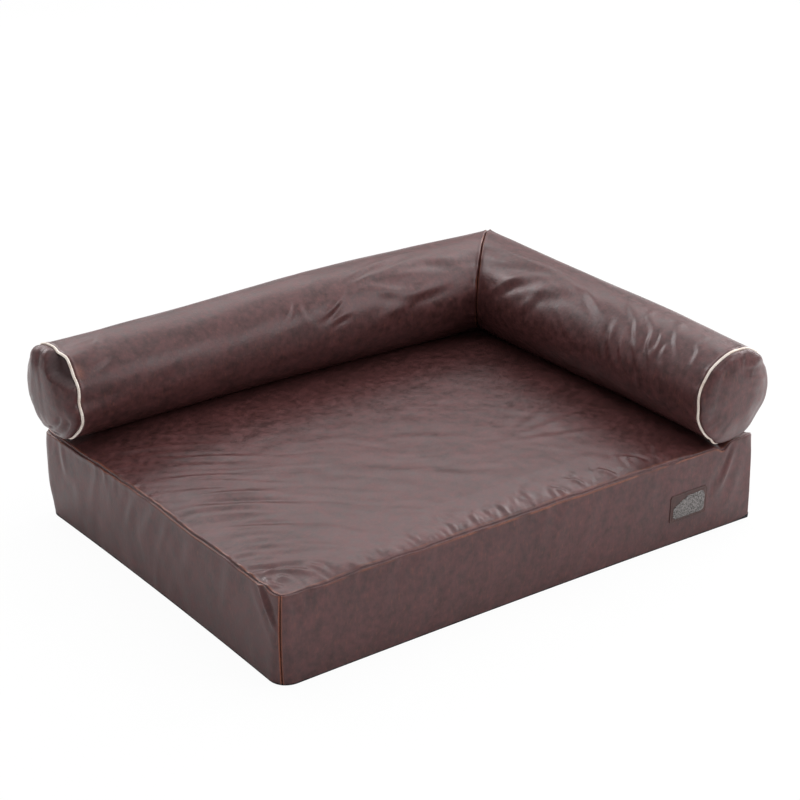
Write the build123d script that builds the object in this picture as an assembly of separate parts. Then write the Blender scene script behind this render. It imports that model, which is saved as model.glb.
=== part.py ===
from build123d import *
import math
import os

# Pet sofa: a foam slab in a leather-look cover, with an L-shaped bolster of two stuffed rolls
# held on its back and right edges. Millimetres. The origin is under the middle of the base,
# +X runs to the right along the front, +Y to the back and +Z up.

# Base box
base_width = 1000.0
base_depth = 750.0
seam_height = 160.0
foot_corner_radius = 32.0
seam_corner_radius = 14.0
border_bulge = 5.0
border_draw = 5.0
leather = 1.5
sole_thickness = 2.0
wadding_thickness = 12.0

# Crown of the seat: a steep band inside the seam, then a gentle middle.
# Its rise from front to back goes by the band, and from the middle to either end by even steps.
seat_crown = 24.0
crown_run = 90.0
crown_overhang = 3.0
crown_shoulder_share = 0.65
crown_halfway_share = 0.38
crown_step_shares = (1.0, 0.985, 0.93, 0.83, 0.63, 0.03)

# Rolls: radius and height of the axis where each roll ends, swells and meets the other
ring_radius = 84.5
ring_axis_height = 253.0
back_roll_radius = 93.0
back_roll_lift = 9.0
arm_roll_radius = 90.0
arm_roll_lift = 4.5
mitre_radius = 91.0
mitre_lift = 3.0
roll_overhang = 27.0
mitre_shoulder = 140.0
back_cap_bulge = 38.0
arm_cap_bulge = 16.0
piping_radius = 2.4
piping_cord_radius = 1.6
piping_proud = 0.4

# Hook-and-loop strips between the seat and the rolls
strip_width = 30.0
strip_thickness = 1.5
strip_margin = 1.0
back_strip_start = 250.0
back_strip_end = 107.0
arm_strip_start = 175.0
arm_strip_end = 133.0

# Zips: one in the back of the base, one low in the back of the bolster
base_zip_margin = 90.0
base_zip_height = 80.0
bolster_zip_length = 560.0
bolster_zip_margin = 260.0
bolster_zip_tilt = 35.0
bolster_zip_reach = 80.0
coil_width = 2.9
coil_thickness = 2.4
tape_width = 12.0
tape_thickness = 0.6
tape_tail = 12.0
zip_gap_width = 14.0
zip_gap_tail = 8.0
zip_relief_depth = 6.5
slider_length = 13.0
slider_width = 10.4
slider_nose_width = 8.8
slider_taper = 3.0
slider_plate = 1.2
slider_channel_width = 7.2
post_length = 3.0
post_width = 2.4
post_inset = 0.5
stop_length = 3.0
stop_width = 9.0
stop_proud = 0.2
bridge_length = 8.0
bridge_width = 3.0
bridge_height = 3.4
bridge_strip = 1.2
pin_radius = 0.6
pin_lift = 1.0
puller_width = 7.2
puller_arm_width = 1.1
puller_arm_length = 8.5
puller_length = 24.0
puller_hole_radius = 1.5
facet_width = 120.0
facet_ramp = 60.0
facet_rise = 12.0

# Label: a leather patch with a bare metal plate
patch_margin = 115.0
patch_bottom = 45.0
patch_width = 85.0
patch_height = 53.0
patch_corner = 6.0
patch_thickness = 1.6
plate_width = 72.0
plate_height = 40.0
plate_corner = 9.0
plate_thickness = 1.4

# Clearances
bolster_gap = 0.3
running_gap = 0.3
overrun = 30.0

parts_folder = "parts"


def solid_between(low, high):
    """Box between two opposite corners."""
    size = Vector(*high) - Vector(*low)
    middle = (Vector(*high) + Vector(*low)) * 0.5
    return Pos(*middle) * Box(size.X, size.Y, size.Z)


def base_outline(height, swell, corner_radius, inset):
    """Plan outline at one height: arcs drawn in along three sides, a straight back and four corners."""
    right = base_width / 2 + swell - inset
    front = -(base_depth / 2 + swell - inset)
    back = base_depth / 2 - inset
    radius = max(corner_radius - inset, leather)
    bend = radius * (1 - math.cos(math.pi / 4))

    def at(x, y):
        return Vector(x, y, height)

    edges = [
        ThreePointArc(at(radius - right, front), at(0, front + border_draw), at(right - radius, front)),
        ThreePointArc(at(right - radius, front), at(right - bend, front + bend), at(right, front + radius)),
        ThreePointArc(at(right, front + radius), at(right - border_draw, 0), at(right, back - radius)),
        ThreePointArc(at(right, back - radius), at(right - bend, back - bend), at(right - radius, back)),
        Line(at(right - radius, back), at(radius - right, back)),
        ThreePointArc(at(radius - right, back), at(bend - right, back - bend), at(-right, back - radius)),
        ThreePointArc(at(-right, back - radius), at(border_draw - right, 0), at(-right, front + radius)),
        ThreePointArc(at(-right, front + radius), at(bend - right, front + bend), at(radius - right, front)),
    ]
    return Wire(edges)


def base_block(inset):
    """Body of the base, from the floor to above the seat, with bulging sides drawn in at the seams."""
    levels = (
        (0, 0, foot_corner_radius),
        (seam_height / 2, border_bulge, (foot_corner_radius + seam_corner_radius) / 2),
        (seam_height, 0, seam_corner_radius),
        (seam_height + seat_crown + overrun, 0, seam_corner_radius),
    )
    return Solid.make_loft([base_outline(*level, inset) for level in levels])


def crown_section(x, rise):
    """Section of the space under the seat: flat rims and three arcs that rise to the middle."""
    half = base_depth / 2 + crown_overhang
    shoulder = half - crown_run
    halfway = half - crown_run / 2
    rim = seam_height
    halfway_height = seam_height + rise * crown_halfway_share
    shoulder_height = seam_height + rise * crown_shoulder_share

    def at(y, z):
        return Vector(x, y, z)

    edges = [
        Line(at(-half - overrun, -overrun), at(-half - overrun, rim)),
        Line(at(-half - overrun, rim), at(-half, rim)),
        ThreePointArc(at(-half, rim), at(-halfway, halfway_height), at(-shoulder, shoulder_height)),
        ThreePointArc(at(-shoulder, shoulder_height), at(0, rim + rise), at(shoulder, shoulder_height)),
        ThreePointArc(at(shoulder, shoulder_height), at(halfway, halfway_height), at(half, rim)),
        Line(at(half, rim), at(half + overrun, rim)),
        Line(at(half + overrun, rim), at(half + overrun, -overrun)),
        Line(at(half + overrun, -overrun), at(-half - overrun, -overrun)),
    ]
    return Wire(edges)


def under_seat():
    """Everything below the seat's surface, wider than the base on every side."""
    last = len(crown_step_shares) - 1
    step = (base_width / 2 + crown_overhang) / last
    stations = [
        (step * k, crown_step_shares[min(abs(k), last)])
        for k in range(-last - 1, last + 2)
    ]
    return Solid.make_loft([crown_section(x, seat_crown * share) for x, share in stations])


seat_space = under_seat()
base_outer = base_block(0)
base_inner = base_block(leather)


def below_seat(rise):
    """The space under the seat's surface, with that surface moved up by rise."""
    return Pos(0, 0, rise) * seat_space


def one(shape):
    """The single solid of a result."""
    solids = shape.solids()
    assert len(solids) == 1, len(solids)
    return solids[0]


def corner_wedge(first, second):
    """Upright wedge from the base's middle out past two of its corners, given by their signs."""
    triangle = Polyline(
        (0, 0),
        (first[0] * base_width, first[1] * base_depth),
        (second[0] * base_width, second[1] * base_depth),
        close=True,
    )
    return Pos(0, 0, sole_thickness) * extrude(make_face(triangle), amount=seam_height + overrun)


# Zip, drawn flat: x runs from the open end to the closed end, y across it, z out of the cover
tape_top = -leather
tape_bottom = tape_top - tape_thickness
coil_middle = (tape_top + tape_bottom) / 2
coil_top = coil_middle + coil_thickness / 2
coil_bottom = coil_middle - coil_thickness / 2
slider_floor = coil_top + running_gap
slider_top = slider_floor + slider_plate
slider_ceiling = coil_bottom - running_gap
slider_bottom = slider_ceiling - slider_plate
post_start = slider_length - post_inset - post_length
pin_x = slider_length / 2
pin_z = slider_top + pin_lift


def slider_rest(length):
    """Place of the slider's nose when the zip is closed."""
    return length + running_gap - post_start


def slider_travel(length):
    """Way from the closed end until the slider's nose meets the bottom stop."""
    return slider_rest(length) - running_gap


def zip_tape(length, side):
    """One woven tape: side is 1 above the coils and -1 below."""
    return solid_between(
        (-tape_tail, min(side * coil_width, side * (coil_width + tape_width)), tape_bottom),
        (length + slider_length + tape_tail, max(side * coil_width, side * (coil_width + tape_width)), tape_top),
    )


def coil_row(length, side):
    """One nylon coil, closed against the other along the middle of the zip."""
    low = min(0, side * coil_width)
    high = max(0, side * coil_width)
    return solid_between((0, low, coil_bottom), (length, high, coil_top))


def zip_stops(length):
    """Bottom stop across both tapes and a top stop on each, clamped over the tape edges."""
    low = coil_bottom - stop_proud
    high = coil_top + stop_proud
    closed = slider_rest(length) + slider_length + running_gap
    inner = post_width / 2 + running_gap
    half = stop_width / 2
    blocks = [
        solid_between((-stop_length - running_gap, -half, low), (-running_gap, half, high)),
        solid_between((closed, inner, low), (closed + stop_length, half, high)),
        solid_between((closed, -half, low), (closed + stop_length, -inner, high)),
    ]
    tapes = [zip_tape(length, side) for side in (1, -1)]
    return [one(block - tapes[0] - tapes[1]) for block in blocks]


def zip_slider(length):
    """Slider: two plates joined by a post, side flanges over the tapes and a bridge for the puller."""
    nose = slider_nose_width / 2
    half = slider_width / 2
    outline = Polyline(
        (0, -nose),
        (slider_taper, -half),
        (slider_length - slider_taper, -half),
        (slider_length, -nose),
        (slider_length, nose),
        (slider_length - slider_taper, half),
        (slider_taper, half),
        (0, nose),
        close=True,
    )
    body = Pos(0, 0, slider_bottom) * extrude(make_face(outline), amount=slider_top - slider_bottom)
    channel = slider_channel_width / 2
    body -= solid_between((-overrun, -channel, slider_ceiling), (overrun, channel, slider_floor))
    slot_low = tape_bottom - running_gap
    slot_high = tape_top + running_gap
    body -= solid_between((-overrun, -overrun, slot_low), (overrun, overrun, slot_high))
    post = solid_between(
        (post_start, -post_width / 2, slider_bottom),
        (post_start + post_length, post_width / 2, slider_top),
    )
    foot = bridge_length / 2
    crown = foot - bridge_strip
    arch = Polyline(
        (pin_x - foot, slider_top),
        (pin_x - crown, slider_top + bridge_height),
        (pin_x + crown, slider_top + bridge_height),
        (pin_x + foot, slider_top),
        (pin_x + foot - bridge_strip, slider_top),
        (pin_x + crown - bridge_strip, slider_top + bridge_height - bridge_strip),
        (pin_x - crown + bridge_strip, slider_top + bridge_height - bridge_strip),
        (pin_x - foot + bridge_strip, slider_top),
        close=True,
    )
    bridge = extrude(Plane.XZ * make_face(arch), amount=bridge_width / 2, both=True)
    return Pos(slider_rest(length), 0, 0) * one(body + post + bridge)


def zip_puller(length):
    """Puller: a pin under the bridge, two arms and a flat tab with a round end and a hole."""
    arm_outer = puller_width / 2
    arm_inner = arm_outer - puller_arm_width
    low = pin_z - pin_radius
    high = pin_z + pin_radius
    tab_end = pin_x - puller_arm_length
    pin = Pos(pin_x, 0, pin_z) * Rot(X=90) * Cylinder(pin_radius, puller_width)
    arms = [
        solid_between((tab_end, arm_inner, low), (pin_x, arm_outer, high)),
        solid_between((tab_end, -arm_outer, low), (pin_x, -arm_inner, high)),
    ]
    tab = solid_between((tab_end - puller_length + arm_outer, -arm_outer, low), (tab_end, arm_outer, high))
    tip = Pos(tab_end - puller_length + arm_outer, 0, pin_z) * Cylinder(arm_outer, high - low)
    hole = Pos(tab_end - puller_length + arm_outer, 0, pin_z) * Cylinder(puller_hole_radius, overrun)
    puller = pin + arms[0] + arms[1] + tab + tip - hole
    return Pos(slider_rest(length), 0, 0) * one(puller)


def zip_gap(length):
    """Opening between the folded edges of the cover, where coils and slider run."""
    return solid_between(
        (-zip_gap_tail, -zip_gap_width / 2, -leather - tape_thickness),
        (length + slider_length + zip_gap_tail, zip_gap_width / 2, overrun),
    )


def zip_relief(length):
    """Space that the zip takes out of the stuffing behind it."""
    channel = solid_between(
        (-zip_gap_tail, -zip_gap_width / 2, -zip_relief_depth),
        (length + slider_length + zip_gap_tail, zip_gap_width / 2, overrun),
    )
    return channel + zip_tape(length, 1) + zip_tape(length, -1)


def zip_pieces(name, length, place):
    """Every piece of one zip, moved to its place on the sofa."""
    pieces = {
        "zip_tape_upper": [zip_tape(length, 1)],
        "zip_tape_lower": [zip_tape(length, -1)],
        "zip_coils": [coil_row(length, side) for side in (1, -1)],
        "zip_stops": zip_stops(length),
        "zip_slider": [zip_slider(length)],
        "zip_puller": [zip_puller(length)],
    }
    return {name + "_" + key: [place * piece for piece in group] for key, group in pieces.items()}


base_zip_length = base_width - 2 * base_zip_margin
base_zip_place = Plane(
    origin=(base_zip_length / 2, base_depth / 2, base_zip_height),
    x_dir=(-1, 0, 0),
    z_dir=(0, 1, 0),
).location
tilt = math.radians(bolster_zip_tilt)
back_axis_y = base_depth / 2 + roll_overhang - ring_radius - (back_roll_radius - ring_radius) / 2
arm_axis_x = base_width / 2 + roll_overhang - arm_roll_radius
bolster_zip_place = Plane(
    origin=(
        base_width / 2 - bolster_zip_margin,
        back_axis_y + bolster_zip_reach * math.cos(tilt),
        ring_axis_height - bolster_zip_reach * math.sin(tilt),
    ),
    x_dir=(-1, 0, 0),
    z_dir=(0, math.cos(tilt), -math.sin(tilt)),
).location


def base_cover():
    """Seat panel, four borders round the sides and the sole under the base."""
    seat = one(base_outer & seat_space - below_seat(-leather))
    above_sole = solid_between(
        (-base_width, -base_depth, sole_thickness),
        (base_width, base_depth, seam_height + seat_crown + overrun),
    )
    ring = (base_outer - base_inner) & below_seat(-leather) & above_sole
    front = one(ring & corner_wedge((-1, -1), (1, -1)))
    right = one(ring & corner_wedge((1, -1), (1, 1)))
    back = one(ring & corner_wedge((1, 1), (-1, 1)))
    left = one(ring & corner_wedge((-1, 1), (-1, -1)))
    gap = base_zip_place * zip_gap(base_zip_length)
    upper_half = solid_between(
        (-base_width, 0, base_zip_height),
        (base_width, base_depth, seam_height + overrun),
    )
    sole_slab = solid_between((-base_width, -base_depth, 0), (base_width, base_depth, sole_thickness))
    return {
        "seat_panel": [seat],
        "front_border": [front],
        "right_border": [right],
        "left_border": [left],
        "back_border_upper": [one((back & upper_half) - gap)],
        "back_border_lower": [one(back - upper_half - gap)],
        "anti_slip_sole": [one(base_outer & sole_slab)],
    }


def base_stuffing():
    """Foam slab with the zip's relief, and the wadding sheet over it."""
    above_sole = solid_between(
        (-base_width, -base_depth, sole_thickness),
        (base_width, base_depth, seam_height + seat_crown + overrun),
    )
    inside = base_inner & above_sole
    wadding = one((inside & below_seat(-leather)) - below_seat(-leather - wadding_thickness))
    foam = (inside & below_seat(-leather - wadding_thickness)) - base_zip_place * zip_relief(base_zip_length)
    return {"foam_core": [one(foam)], "wadding_layer": [wadding]}


def label():
    """Leather patch and bare plate, both bent to the front border's face."""
    def panel(width, height, corner, inner, outer):
        middle_x = base_width / 2 - patch_margin - patch_width / 2
        middle_z = patch_bottom + patch_height / 2
        face = Plane.XZ * Pos(middle_x, middle_z) * RectangleRounded(width, height, corner)
        return one(extrude(face, amount=base_depth) & (base_block(-outer) - base_block(-inner)))

    return {
        "label_patch": [panel(patch_width, patch_height, patch_corner, 0, patch_thickness)],
        "label_plate": [
            panel(plate_width, plate_height, plate_corner, patch_thickness, patch_thickness + plate_thickness)
        ],
    }


def circle_section(centre, across, radius):
    """Circle of three arcs about a centre, in the upright plane that holds the across direction."""
    def at(turn):
        angle = 2 * math.pi * turn
        return centre + across * (radius * math.cos(angle)) + Vector(0, 0, radius * math.sin(angle))

    return Wire([ThreePointArc(at(k / 3), at((k + 1 / 2) / 3), at((k + 1) / 3)) for k in range(3)])


class Roll:
    """One roll of the bolster: where it ends, which way it runs and how it swells."""

    def __init__(self, ring_centre, along, across, run, radius, lift, cap_bulge, mitre_side):
        self.ring_centre = Vector(*ring_centre)
        self.along = Vector(*along)
        self.across = Vector(*across)
        self.run = run
        self.cap_bulge = cap_bulge
        self.mitre_side = mitre_side
        self.stations = (
            (0, ring_radius, 0),
            (run / 5, (ring_radius + radius) / 2, lift / 2),
            (run / 2, radius, lift),
            (run - mitre_shoulder, (radius + mitre_radius) / 2, (lift + mitre_lift) / 2),
            (run, mitre_radius, mitre_lift),
            (run + mitre_radius + overrun, mitre_radius, mitre_lift),
        )

    def body(self, inset):
        """Stuffed form from its end ring to past the corner, less an inset all round."""
        sections = [
            circle_section(
                self.ring_centre + self.along * distance + Vector(0, 0, lift),
                self.across,
                radius - inset,
            )
            for distance, radius, lift in self.stations
        ]
        return split(Solid.make_loft(sections), bisect_by=mitre_plane, keep=self.mitre_side)

    def dome(self, inset):
        """Bulging end, a slice of a ball on the end ring, less an inset all round."""
        radius = ring_radius - inset
        bulge = self.cap_bulge - inset
        ball = (radius * radius + bulge * bulge) / (2 * bulge)
        half_turn = math.atan2(radius, ball - bulge) / 2
        middle_out = ball * math.cos(half_turn) - (ball - bulge)
        middle_up = ball * math.sin(half_turn)
        top = self.ring_centre + Vector(0, 0, radius)
        middle = self.ring_centre - self.along * middle_out + Vector(0, 0, middle_up)
        tip = self.ring_centre - self.along * bulge
        profile = [
            Line(self.ring_centre, top),
            ThreePointArc(top, middle, tip),
            Line(tip, self.ring_centre),
        ]
        return one(revolve(Face(Wire(profile)), Axis(self.ring_centre, self.along)))

    def piping(self, radius):
        """Round cord on the end ring."""
        place = Plane(origin=self.ring_centre, z_dir=self.along).location
        return one(place * Torus(ring_radius + piping_proud, radius))


corner_plan = (arm_axis_x, back_axis_y, 0)
mitre_plane = Plane(origin=corner_plan, z_dir=(-1, 1, 0))
back_roll = Roll(
    ring_centre=(-base_width / 2, back_axis_y, ring_axis_height),
    along=(1, 0, 0),
    across=(0, 1, 0),
    run=base_width / 2 + arm_axis_x,
    radius=back_roll_radius,
    lift=back_roll_lift,
    cap_bulge=back_cap_bulge,
    mitre_side=Keep.TOP,
)
arm_roll = Roll(
    ring_centre=(arm_axis_x, -base_depth / 2, ring_axis_height),
    along=(0, 1, 0),
    across=(1, 0, 0),
    run=base_depth / 2 + back_axis_y,
    radius=arm_roll_radius,
    lift=arm_roll_lift,
    cap_bulge=arm_cap_bulge,
    mitre_side=Keep.BOTTOM,
)


def strip_column(roll, start, length, margin):
    """Upright column over one hook-and-loop strip, with a margin round it."""
    low = roll.ring_centre + roll.along * (start - margin) - roll.across * (strip_width / 2 + margin)
    high = roll.ring_centre + roll.along * (start + length + margin) + roll.across * (strip_width / 2 + margin)
    return solid_between((low.X, low.Y, 0), (high.X, high.Y, ring_axis_height))


def strip_pair(roll, start, length):
    """Loop strip on the seat and hook strip on the roll above it."""
    column = strip_column(roll, start, length, 0)
    hook_bottom = strip_thickness + bolster_gap
    loop = one((column & below_seat(strip_thickness)) - below_seat(0))
    hook = one((column & below_seat(hook_bottom + strip_thickness)) - below_seat(hook_bottom))
    return loop, hook


def facet_cutter(inset):
    """Space outside the flat that the zip pulls into the back roll, with a ramp at each end."""
    start = -tape_tail - overrun / 2
    end = bolster_zip_length + slider_length + tape_tail + overrun / 2
    outline = Polyline(
        (start - facet_ramp, facet_rise - inset),
        (start, -inset),
        (end, -inset),
        (end + facet_ramp, facet_rise - inset),
        (end + facet_ramp, facet_rise + overrun),
        (start - facet_ramp, facet_rise + overrun),
        close=True,
    )
    block = extrude(Plane.XZ * make_face(outline), amount=facet_width / 2, both=True)
    return bolster_zip_place * block


def pressed(roll, inset, start, length):
    """A roll's form set down on the seat, with room for its strips and, at the back, for the zip."""
    depth = bolster_gap + inset
    pocket_roof = bolster_gap + 2 * strip_thickness + inset
    pocket = strip_column(roll, start, length, strip_margin + inset) & below_seat(pocket_roof)
    form = roll.body(inset) - below_seat(depth) - pocket
    return form - facet_cutter(inset) if roll is back_roll else form


def bolster():
    """Covers, end caps, piping and stuffing of both rolls, and the strips under them."""
    pieces = {}
    for name, roll, start, end in (
        ("back", back_roll, back_strip_start, back_strip_end),
        ("arm", arm_roll, arm_strip_start, arm_strip_end),
    ):
        length = roll.run - start - end
        groove = roll.piping(piping_radius)
        outer = pressed(roll, 0, start, length)
        inner = pressed(roll, leather, start, length)
        cover = outer - inner - groove
        cap = roll.dome(0) - roll.dome(leather) - groove
        filling = inner + roll.dome(leather) - groove
        if roll is back_roll:
            cover -= bolster_zip_place * zip_gap(bolster_zip_length)
            filling -= bolster_zip_place * zip_relief(bolster_zip_length)
        loop, hook = strip_pair(roll, start, length)
        pieces[name + "_roll_cover"] = [one(cover)]
        pieces[name + "_roll_cap"] = [one(cap)]
        pieces[name + "_roll_filling"] = [one(filling)]
        pieces[name + "_roll_piping"] = [one(groove - roll.piping(piping_cord_radius))]
        pieces[name + "_roll_piping_cord"] = [roll.piping(piping_cord_radius)]
        pieces[name + "_loop_strip"] = [loop]
        pieces[name + "_hook_strip"] = [hook]
    return pieces


sofa = {}
sofa.update(base_cover())
sofa.update(base_stuffing())
sofa.update(label())
sofa.update(bolster())
sofa.update(zip_pieces("base", base_zip_length, base_zip_place))
sofa.update(zip_pieces("bolster", bolster_zip_length, bolster_zip_place))

os.makedirs(parts_folder, exist_ok=True)
for node, solids in sofa.items():
    shape = solids[0] if len(solids) == 1 else Compound(children=solids)
    export_step(shape, os.path.join(parts_folder, node + ".step"))

print("base zip slider travel", slider_travel(base_zip_length))
print("bolster zip slider travel", slider_travel(bolster_zip_length))
for zip_name, place, length in (
    ("base", base_zip_place, base_zip_length),
    ("bolster", bolster_zip_place, bolster_zip_length),
):
    pin_centre = (place * Pos(slider_rest(length) + pin_x, 0, pin_z)).position
    print(zip_name, "puller pin at", pin_centre)
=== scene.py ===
"""Corner pet sofa in pull-up faux leather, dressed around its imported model. Metres throughout."""

import math

import bmesh
import bpy
import numpy as np
from mathutils import Matrix, Vector


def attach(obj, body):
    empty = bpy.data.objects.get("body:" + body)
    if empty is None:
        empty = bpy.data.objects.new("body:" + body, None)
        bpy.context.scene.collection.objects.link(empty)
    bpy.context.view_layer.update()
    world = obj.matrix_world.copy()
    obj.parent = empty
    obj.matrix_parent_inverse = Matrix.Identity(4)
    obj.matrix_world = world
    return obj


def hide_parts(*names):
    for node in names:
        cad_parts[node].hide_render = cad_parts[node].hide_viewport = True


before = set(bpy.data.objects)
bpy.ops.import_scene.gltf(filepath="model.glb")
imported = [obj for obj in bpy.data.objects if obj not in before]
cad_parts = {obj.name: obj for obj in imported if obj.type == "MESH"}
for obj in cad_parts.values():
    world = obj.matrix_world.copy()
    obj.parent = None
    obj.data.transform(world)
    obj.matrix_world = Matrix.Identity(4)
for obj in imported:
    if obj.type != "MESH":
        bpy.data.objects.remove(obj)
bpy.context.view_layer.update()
scene = bpy.context.scene
mm = 0.001


# Camera: a long lens at head height, to the front left of the sofa, looking down on the seat.
# Its place, turn, dip and tilt come from the sofa's corners in the photograph.
camera_place = Vector((-2.014, -2.709, 1.716))
camera_turn, camera_dip, camera_tilt = (math.radians(angle) for angle in (36.65, 23.88, 0.52))
camera = bpy.data.objects.new("camera", bpy.data.cameras.new("camera"))
scene.collection.objects.link(camera)
camera.data.lens = 95.1
camera.data.sensor_width = 36.0
camera.data.clip_end = 60.0
forward = Vector((
    math.sin(camera_turn) * math.cos(camera_dip),
    math.cos(camera_turn) * math.cos(camera_dip),
    -math.sin(camera_dip),
))
level = Vector((math.cos(camera_turn), -math.sin(camera_turn), 0))
upright = level.cross(forward)
camera_right = level * math.cos(camera_tilt) + upright * math.sin(camera_tilt)
camera_up = upright * math.cos(camera_tilt) - level * math.sin(camera_tilt)
turned = Matrix((camera_right, camera_up, -forward)).transposed().to_4x4()
camera.matrix_world = Matrix.Translation(camera_place) @ turned
scene.camera = camera
scene.view_settings.view_transform = "Standard"


# Studio: a white floor that shows a faint shadow, a white surround, three lamps behind the sofa that
# lay a sheen over the leather, and broad ones overhead, at the right and at the front right.
def add_node(tree, kind, sockets=(), **settings):
    """Adds a shader node. Each socket gets a plain value or another node's output."""
    made = tree.nodes.new("ShaderNode" + kind)
    for key, value in settings.items():
        setattr(made, key, value)
    for key, value in dict(sockets).items():
        if isinstance(value, bpy.types.NodeSocket):
            tree.links.new(value, made.inputs[key])
        else:
            made.inputs[key].default_value = value
    return made


def tint(text):
    """Linear colour of an sRGB hex value."""
    shares = [int(text[k:k + 2], 16) / 255 for k in (1, 3, 5)]
    return tuple(s / 12.92 if s <= 0.04045 else ((s + 0.055) / 1.055) ** 2.4 for s in shares) + (1.0,)


def empty_material(name):
    """A new material with only its output node, and that output's surface socket."""
    material = bpy.data.materials.new(name)
    material.use_nodes = True
    material.node_tree.nodes.clear()
    output = material.node_tree.nodes.new("ShaderNodeOutputMaterial")
    return material, material.node_tree, output


def stained(tree, share, stops, dark, light):
    """Output of a colour ramp: dark up to the first stop, light from the second, even between them."""
    ramped = add_node(tree, "ValToRGB", {0: share})
    for element, stop, colour in zip(ramped.color_ramp.elements, stops, (dark, light)):
        element.position, element.color = stop, tint(colour)
    return ramped.outputs["Color"]


def textured(name, kind, sockets, dark, light, rough, bump=None, stops=None, skin=(), **settings):
    """A finish of one texture. Its colour runs from dark to light, over all its values or between two
    stops, rough is one value or runs from one to another, a bump has a strength and a height in
    millimetres, and skin has further values of the shader."""
    material, tree, output = empty_material(name)
    place = add_node(tree, "TexCoord").outputs["Object"]
    texture = add_node(tree, kind, {"Vector": place, **sockets}, **settings)
    share = texture.outputs["Distance" if kind == "TexVoronoi" else "Fac"]
    if stops:
        tone = stained(tree, share, stops, dark, light)
    else:
        mixed = add_node(tree, "Mix", {0: share, 6: tint(dark), 7: tint(light)}, data_type="RGBA")
        tone = mixed.outputs[2]
    if isinstance(rough, tuple):
        gloss = add_node(tree, "MapRange", {"Value": share, 1: 0.3, 2: 0.7, 3: rough[0], 4: rough[1]})
        rough = gloss.outputs[0]
    values = {"Base Color": tone, "Roughness": rough, **dict(skin)}
    if bump:
        sockets = {"Strength": bump[0], "Distance": bump[1] * mm, "Height": share}
        values["Normal"] = add_node(tree, "Bump", sockets).outputs[0]
    body = add_node(tree, "BsdfPrincipled", values)
    tree.links.new(body.outputs[0], output.inputs["Surface"])
    return material


world = bpy.data.worlds.new("white_studio")
scene.world = world
world.use_nodes = True
sky = world.node_tree
sky.nodes.clear()
rays = add_node(sky, "LightPath").outputs
lit = add_node(sky, "Background", {"Color": tint("#ffffff"), "Strength": 0.5})
seen = add_node(sky, "Background", {"Color": tint("#ffffff"), "Strength": 1.0})
either = {0: rays["Is Camera Ray"], 1: rays["Is Transmission Ray"]}
shown = add_node(sky, "Math", either, operation="MAXIMUM")
surround = add_node(sky, "MixShader", {0: shown.outputs[0], 1: lit.outputs[0], 2: seen.outputs[0]})
world_output = sky.nodes.new("ShaderNodeOutputWorld")
sky.links.new(surround.outputs[0], world_output.inputs["Surface"])

floor_half = 15.0
floor_mesh = bpy.data.meshes.new("studio_floor")
floor_corners = [(x * floor_half, y * floor_half, 0) for x, y in ((-1, -1), (1, -1), (1, 1), (-1, 1))]
floor_mesh.from_pydata(floor_corners, [], [(0, 1, 2, 3)])
floor = bpy.data.objects.new("studio_floor", floor_mesh)
scene.collection.objects.link(floor)
paper, tree, output = empty_material("white_studio_paper")
rays = add_node(tree, "LightPath")
shaded = add_node(tree, "BsdfDiffuse", {"Color": tint("#f4f4f4")})
white = add_node(tree, "Emission", {"Color": tint("#ffffff"), "Strength": 1.0})
share = add_node(tree, "Math", {0: rays.outputs["Is Camera Ray"], 1: 0.95}, operation="MULTIPLY")
mixed = add_node(tree, "MixShader", {0: share.outputs[0], 1: shaded.outputs[0], 2: white.outputs[0]})
tree.links.new(mixed.outputs[0], output.inputs["Surface"])
floor_mesh.materials.append(paper)

lamp_target = Vector((0, 0, 0.2))
lamps = {
    "softbox_behind_left": ((-0.5, 3.3, 2.2), 2.0, 1.6, 52),
    "softbox_behind": ((0.8, 3.3, 2.2), 2.0, 1.6, 12),
    "softbox_high": ((2.1, 2.3, 3.2), 2.0, 1.6, 29),
    "softbox_right": ((3.4, 0.3, 2.0), 2.8, 2.4, 118),
    "softbox_overhead": ((0.1, 0.1, 3.0), 2.4, 2.4, 24),
    "softbox_front": ((1.9, -2.6, 2.3), 1.8, 1.8, 40),
}
for name, (place, width, height, watts) in lamps.items():
    lamp = bpy.data.lights.new(name, "AREA")
    lamp.shape = "RECTANGLE"
    lamp.size = width
    lamp.size_y = height
    lamp.energy = watts
    holder = bpy.data.objects.new(name, lamp)
    scene.collection.objects.link(holder)
    holder.location = place
    holder.rotation_mode = "QUATERNION"
    holder.rotation_quaternion = (lamp_target - Vector(place)).to_track_quat("-Z", "Y")


# Cover of the base: one seat panel, four borders and the sole's edge, sewn into a box over the foam
# slab. The leather lies slack on the foam, gathers at the seams and sinks into them.
base_width, base_depth = 1000 * mm, 750 * mm
seam_height = 160 * mm
cover_foot = 2 * mm
foot_corner, sharp_foot_corner, seam_corner = 32 * mm, 6 * mm, 14 * mm
border_swell, border_draw = 5 * mm, 5 * mm
crown = 24 * mm
crown_run = 90 * mm
crown_overhang = 3 * mm
crown_shoulder, crown_halfway = 0.65, 0.38
crown_steps = (1.0, 0.985, 0.93, 0.83, 0.63, 0.03)
back_axis_y, arm_axis_x = 313.25 * mm, 437 * mm


def bell(value, middle, width):
    """Bell curve: 1 where the value is at the middle, and down to 0.37 a width away from it."""
    return np.exp(-((value - middle) / width) ** 2)


def ramp(value, start, run):
    """Even slope: 0 up to the start, 1 from a run after it."""
    return np.clip((value - start) / run, 0, 1)


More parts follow.
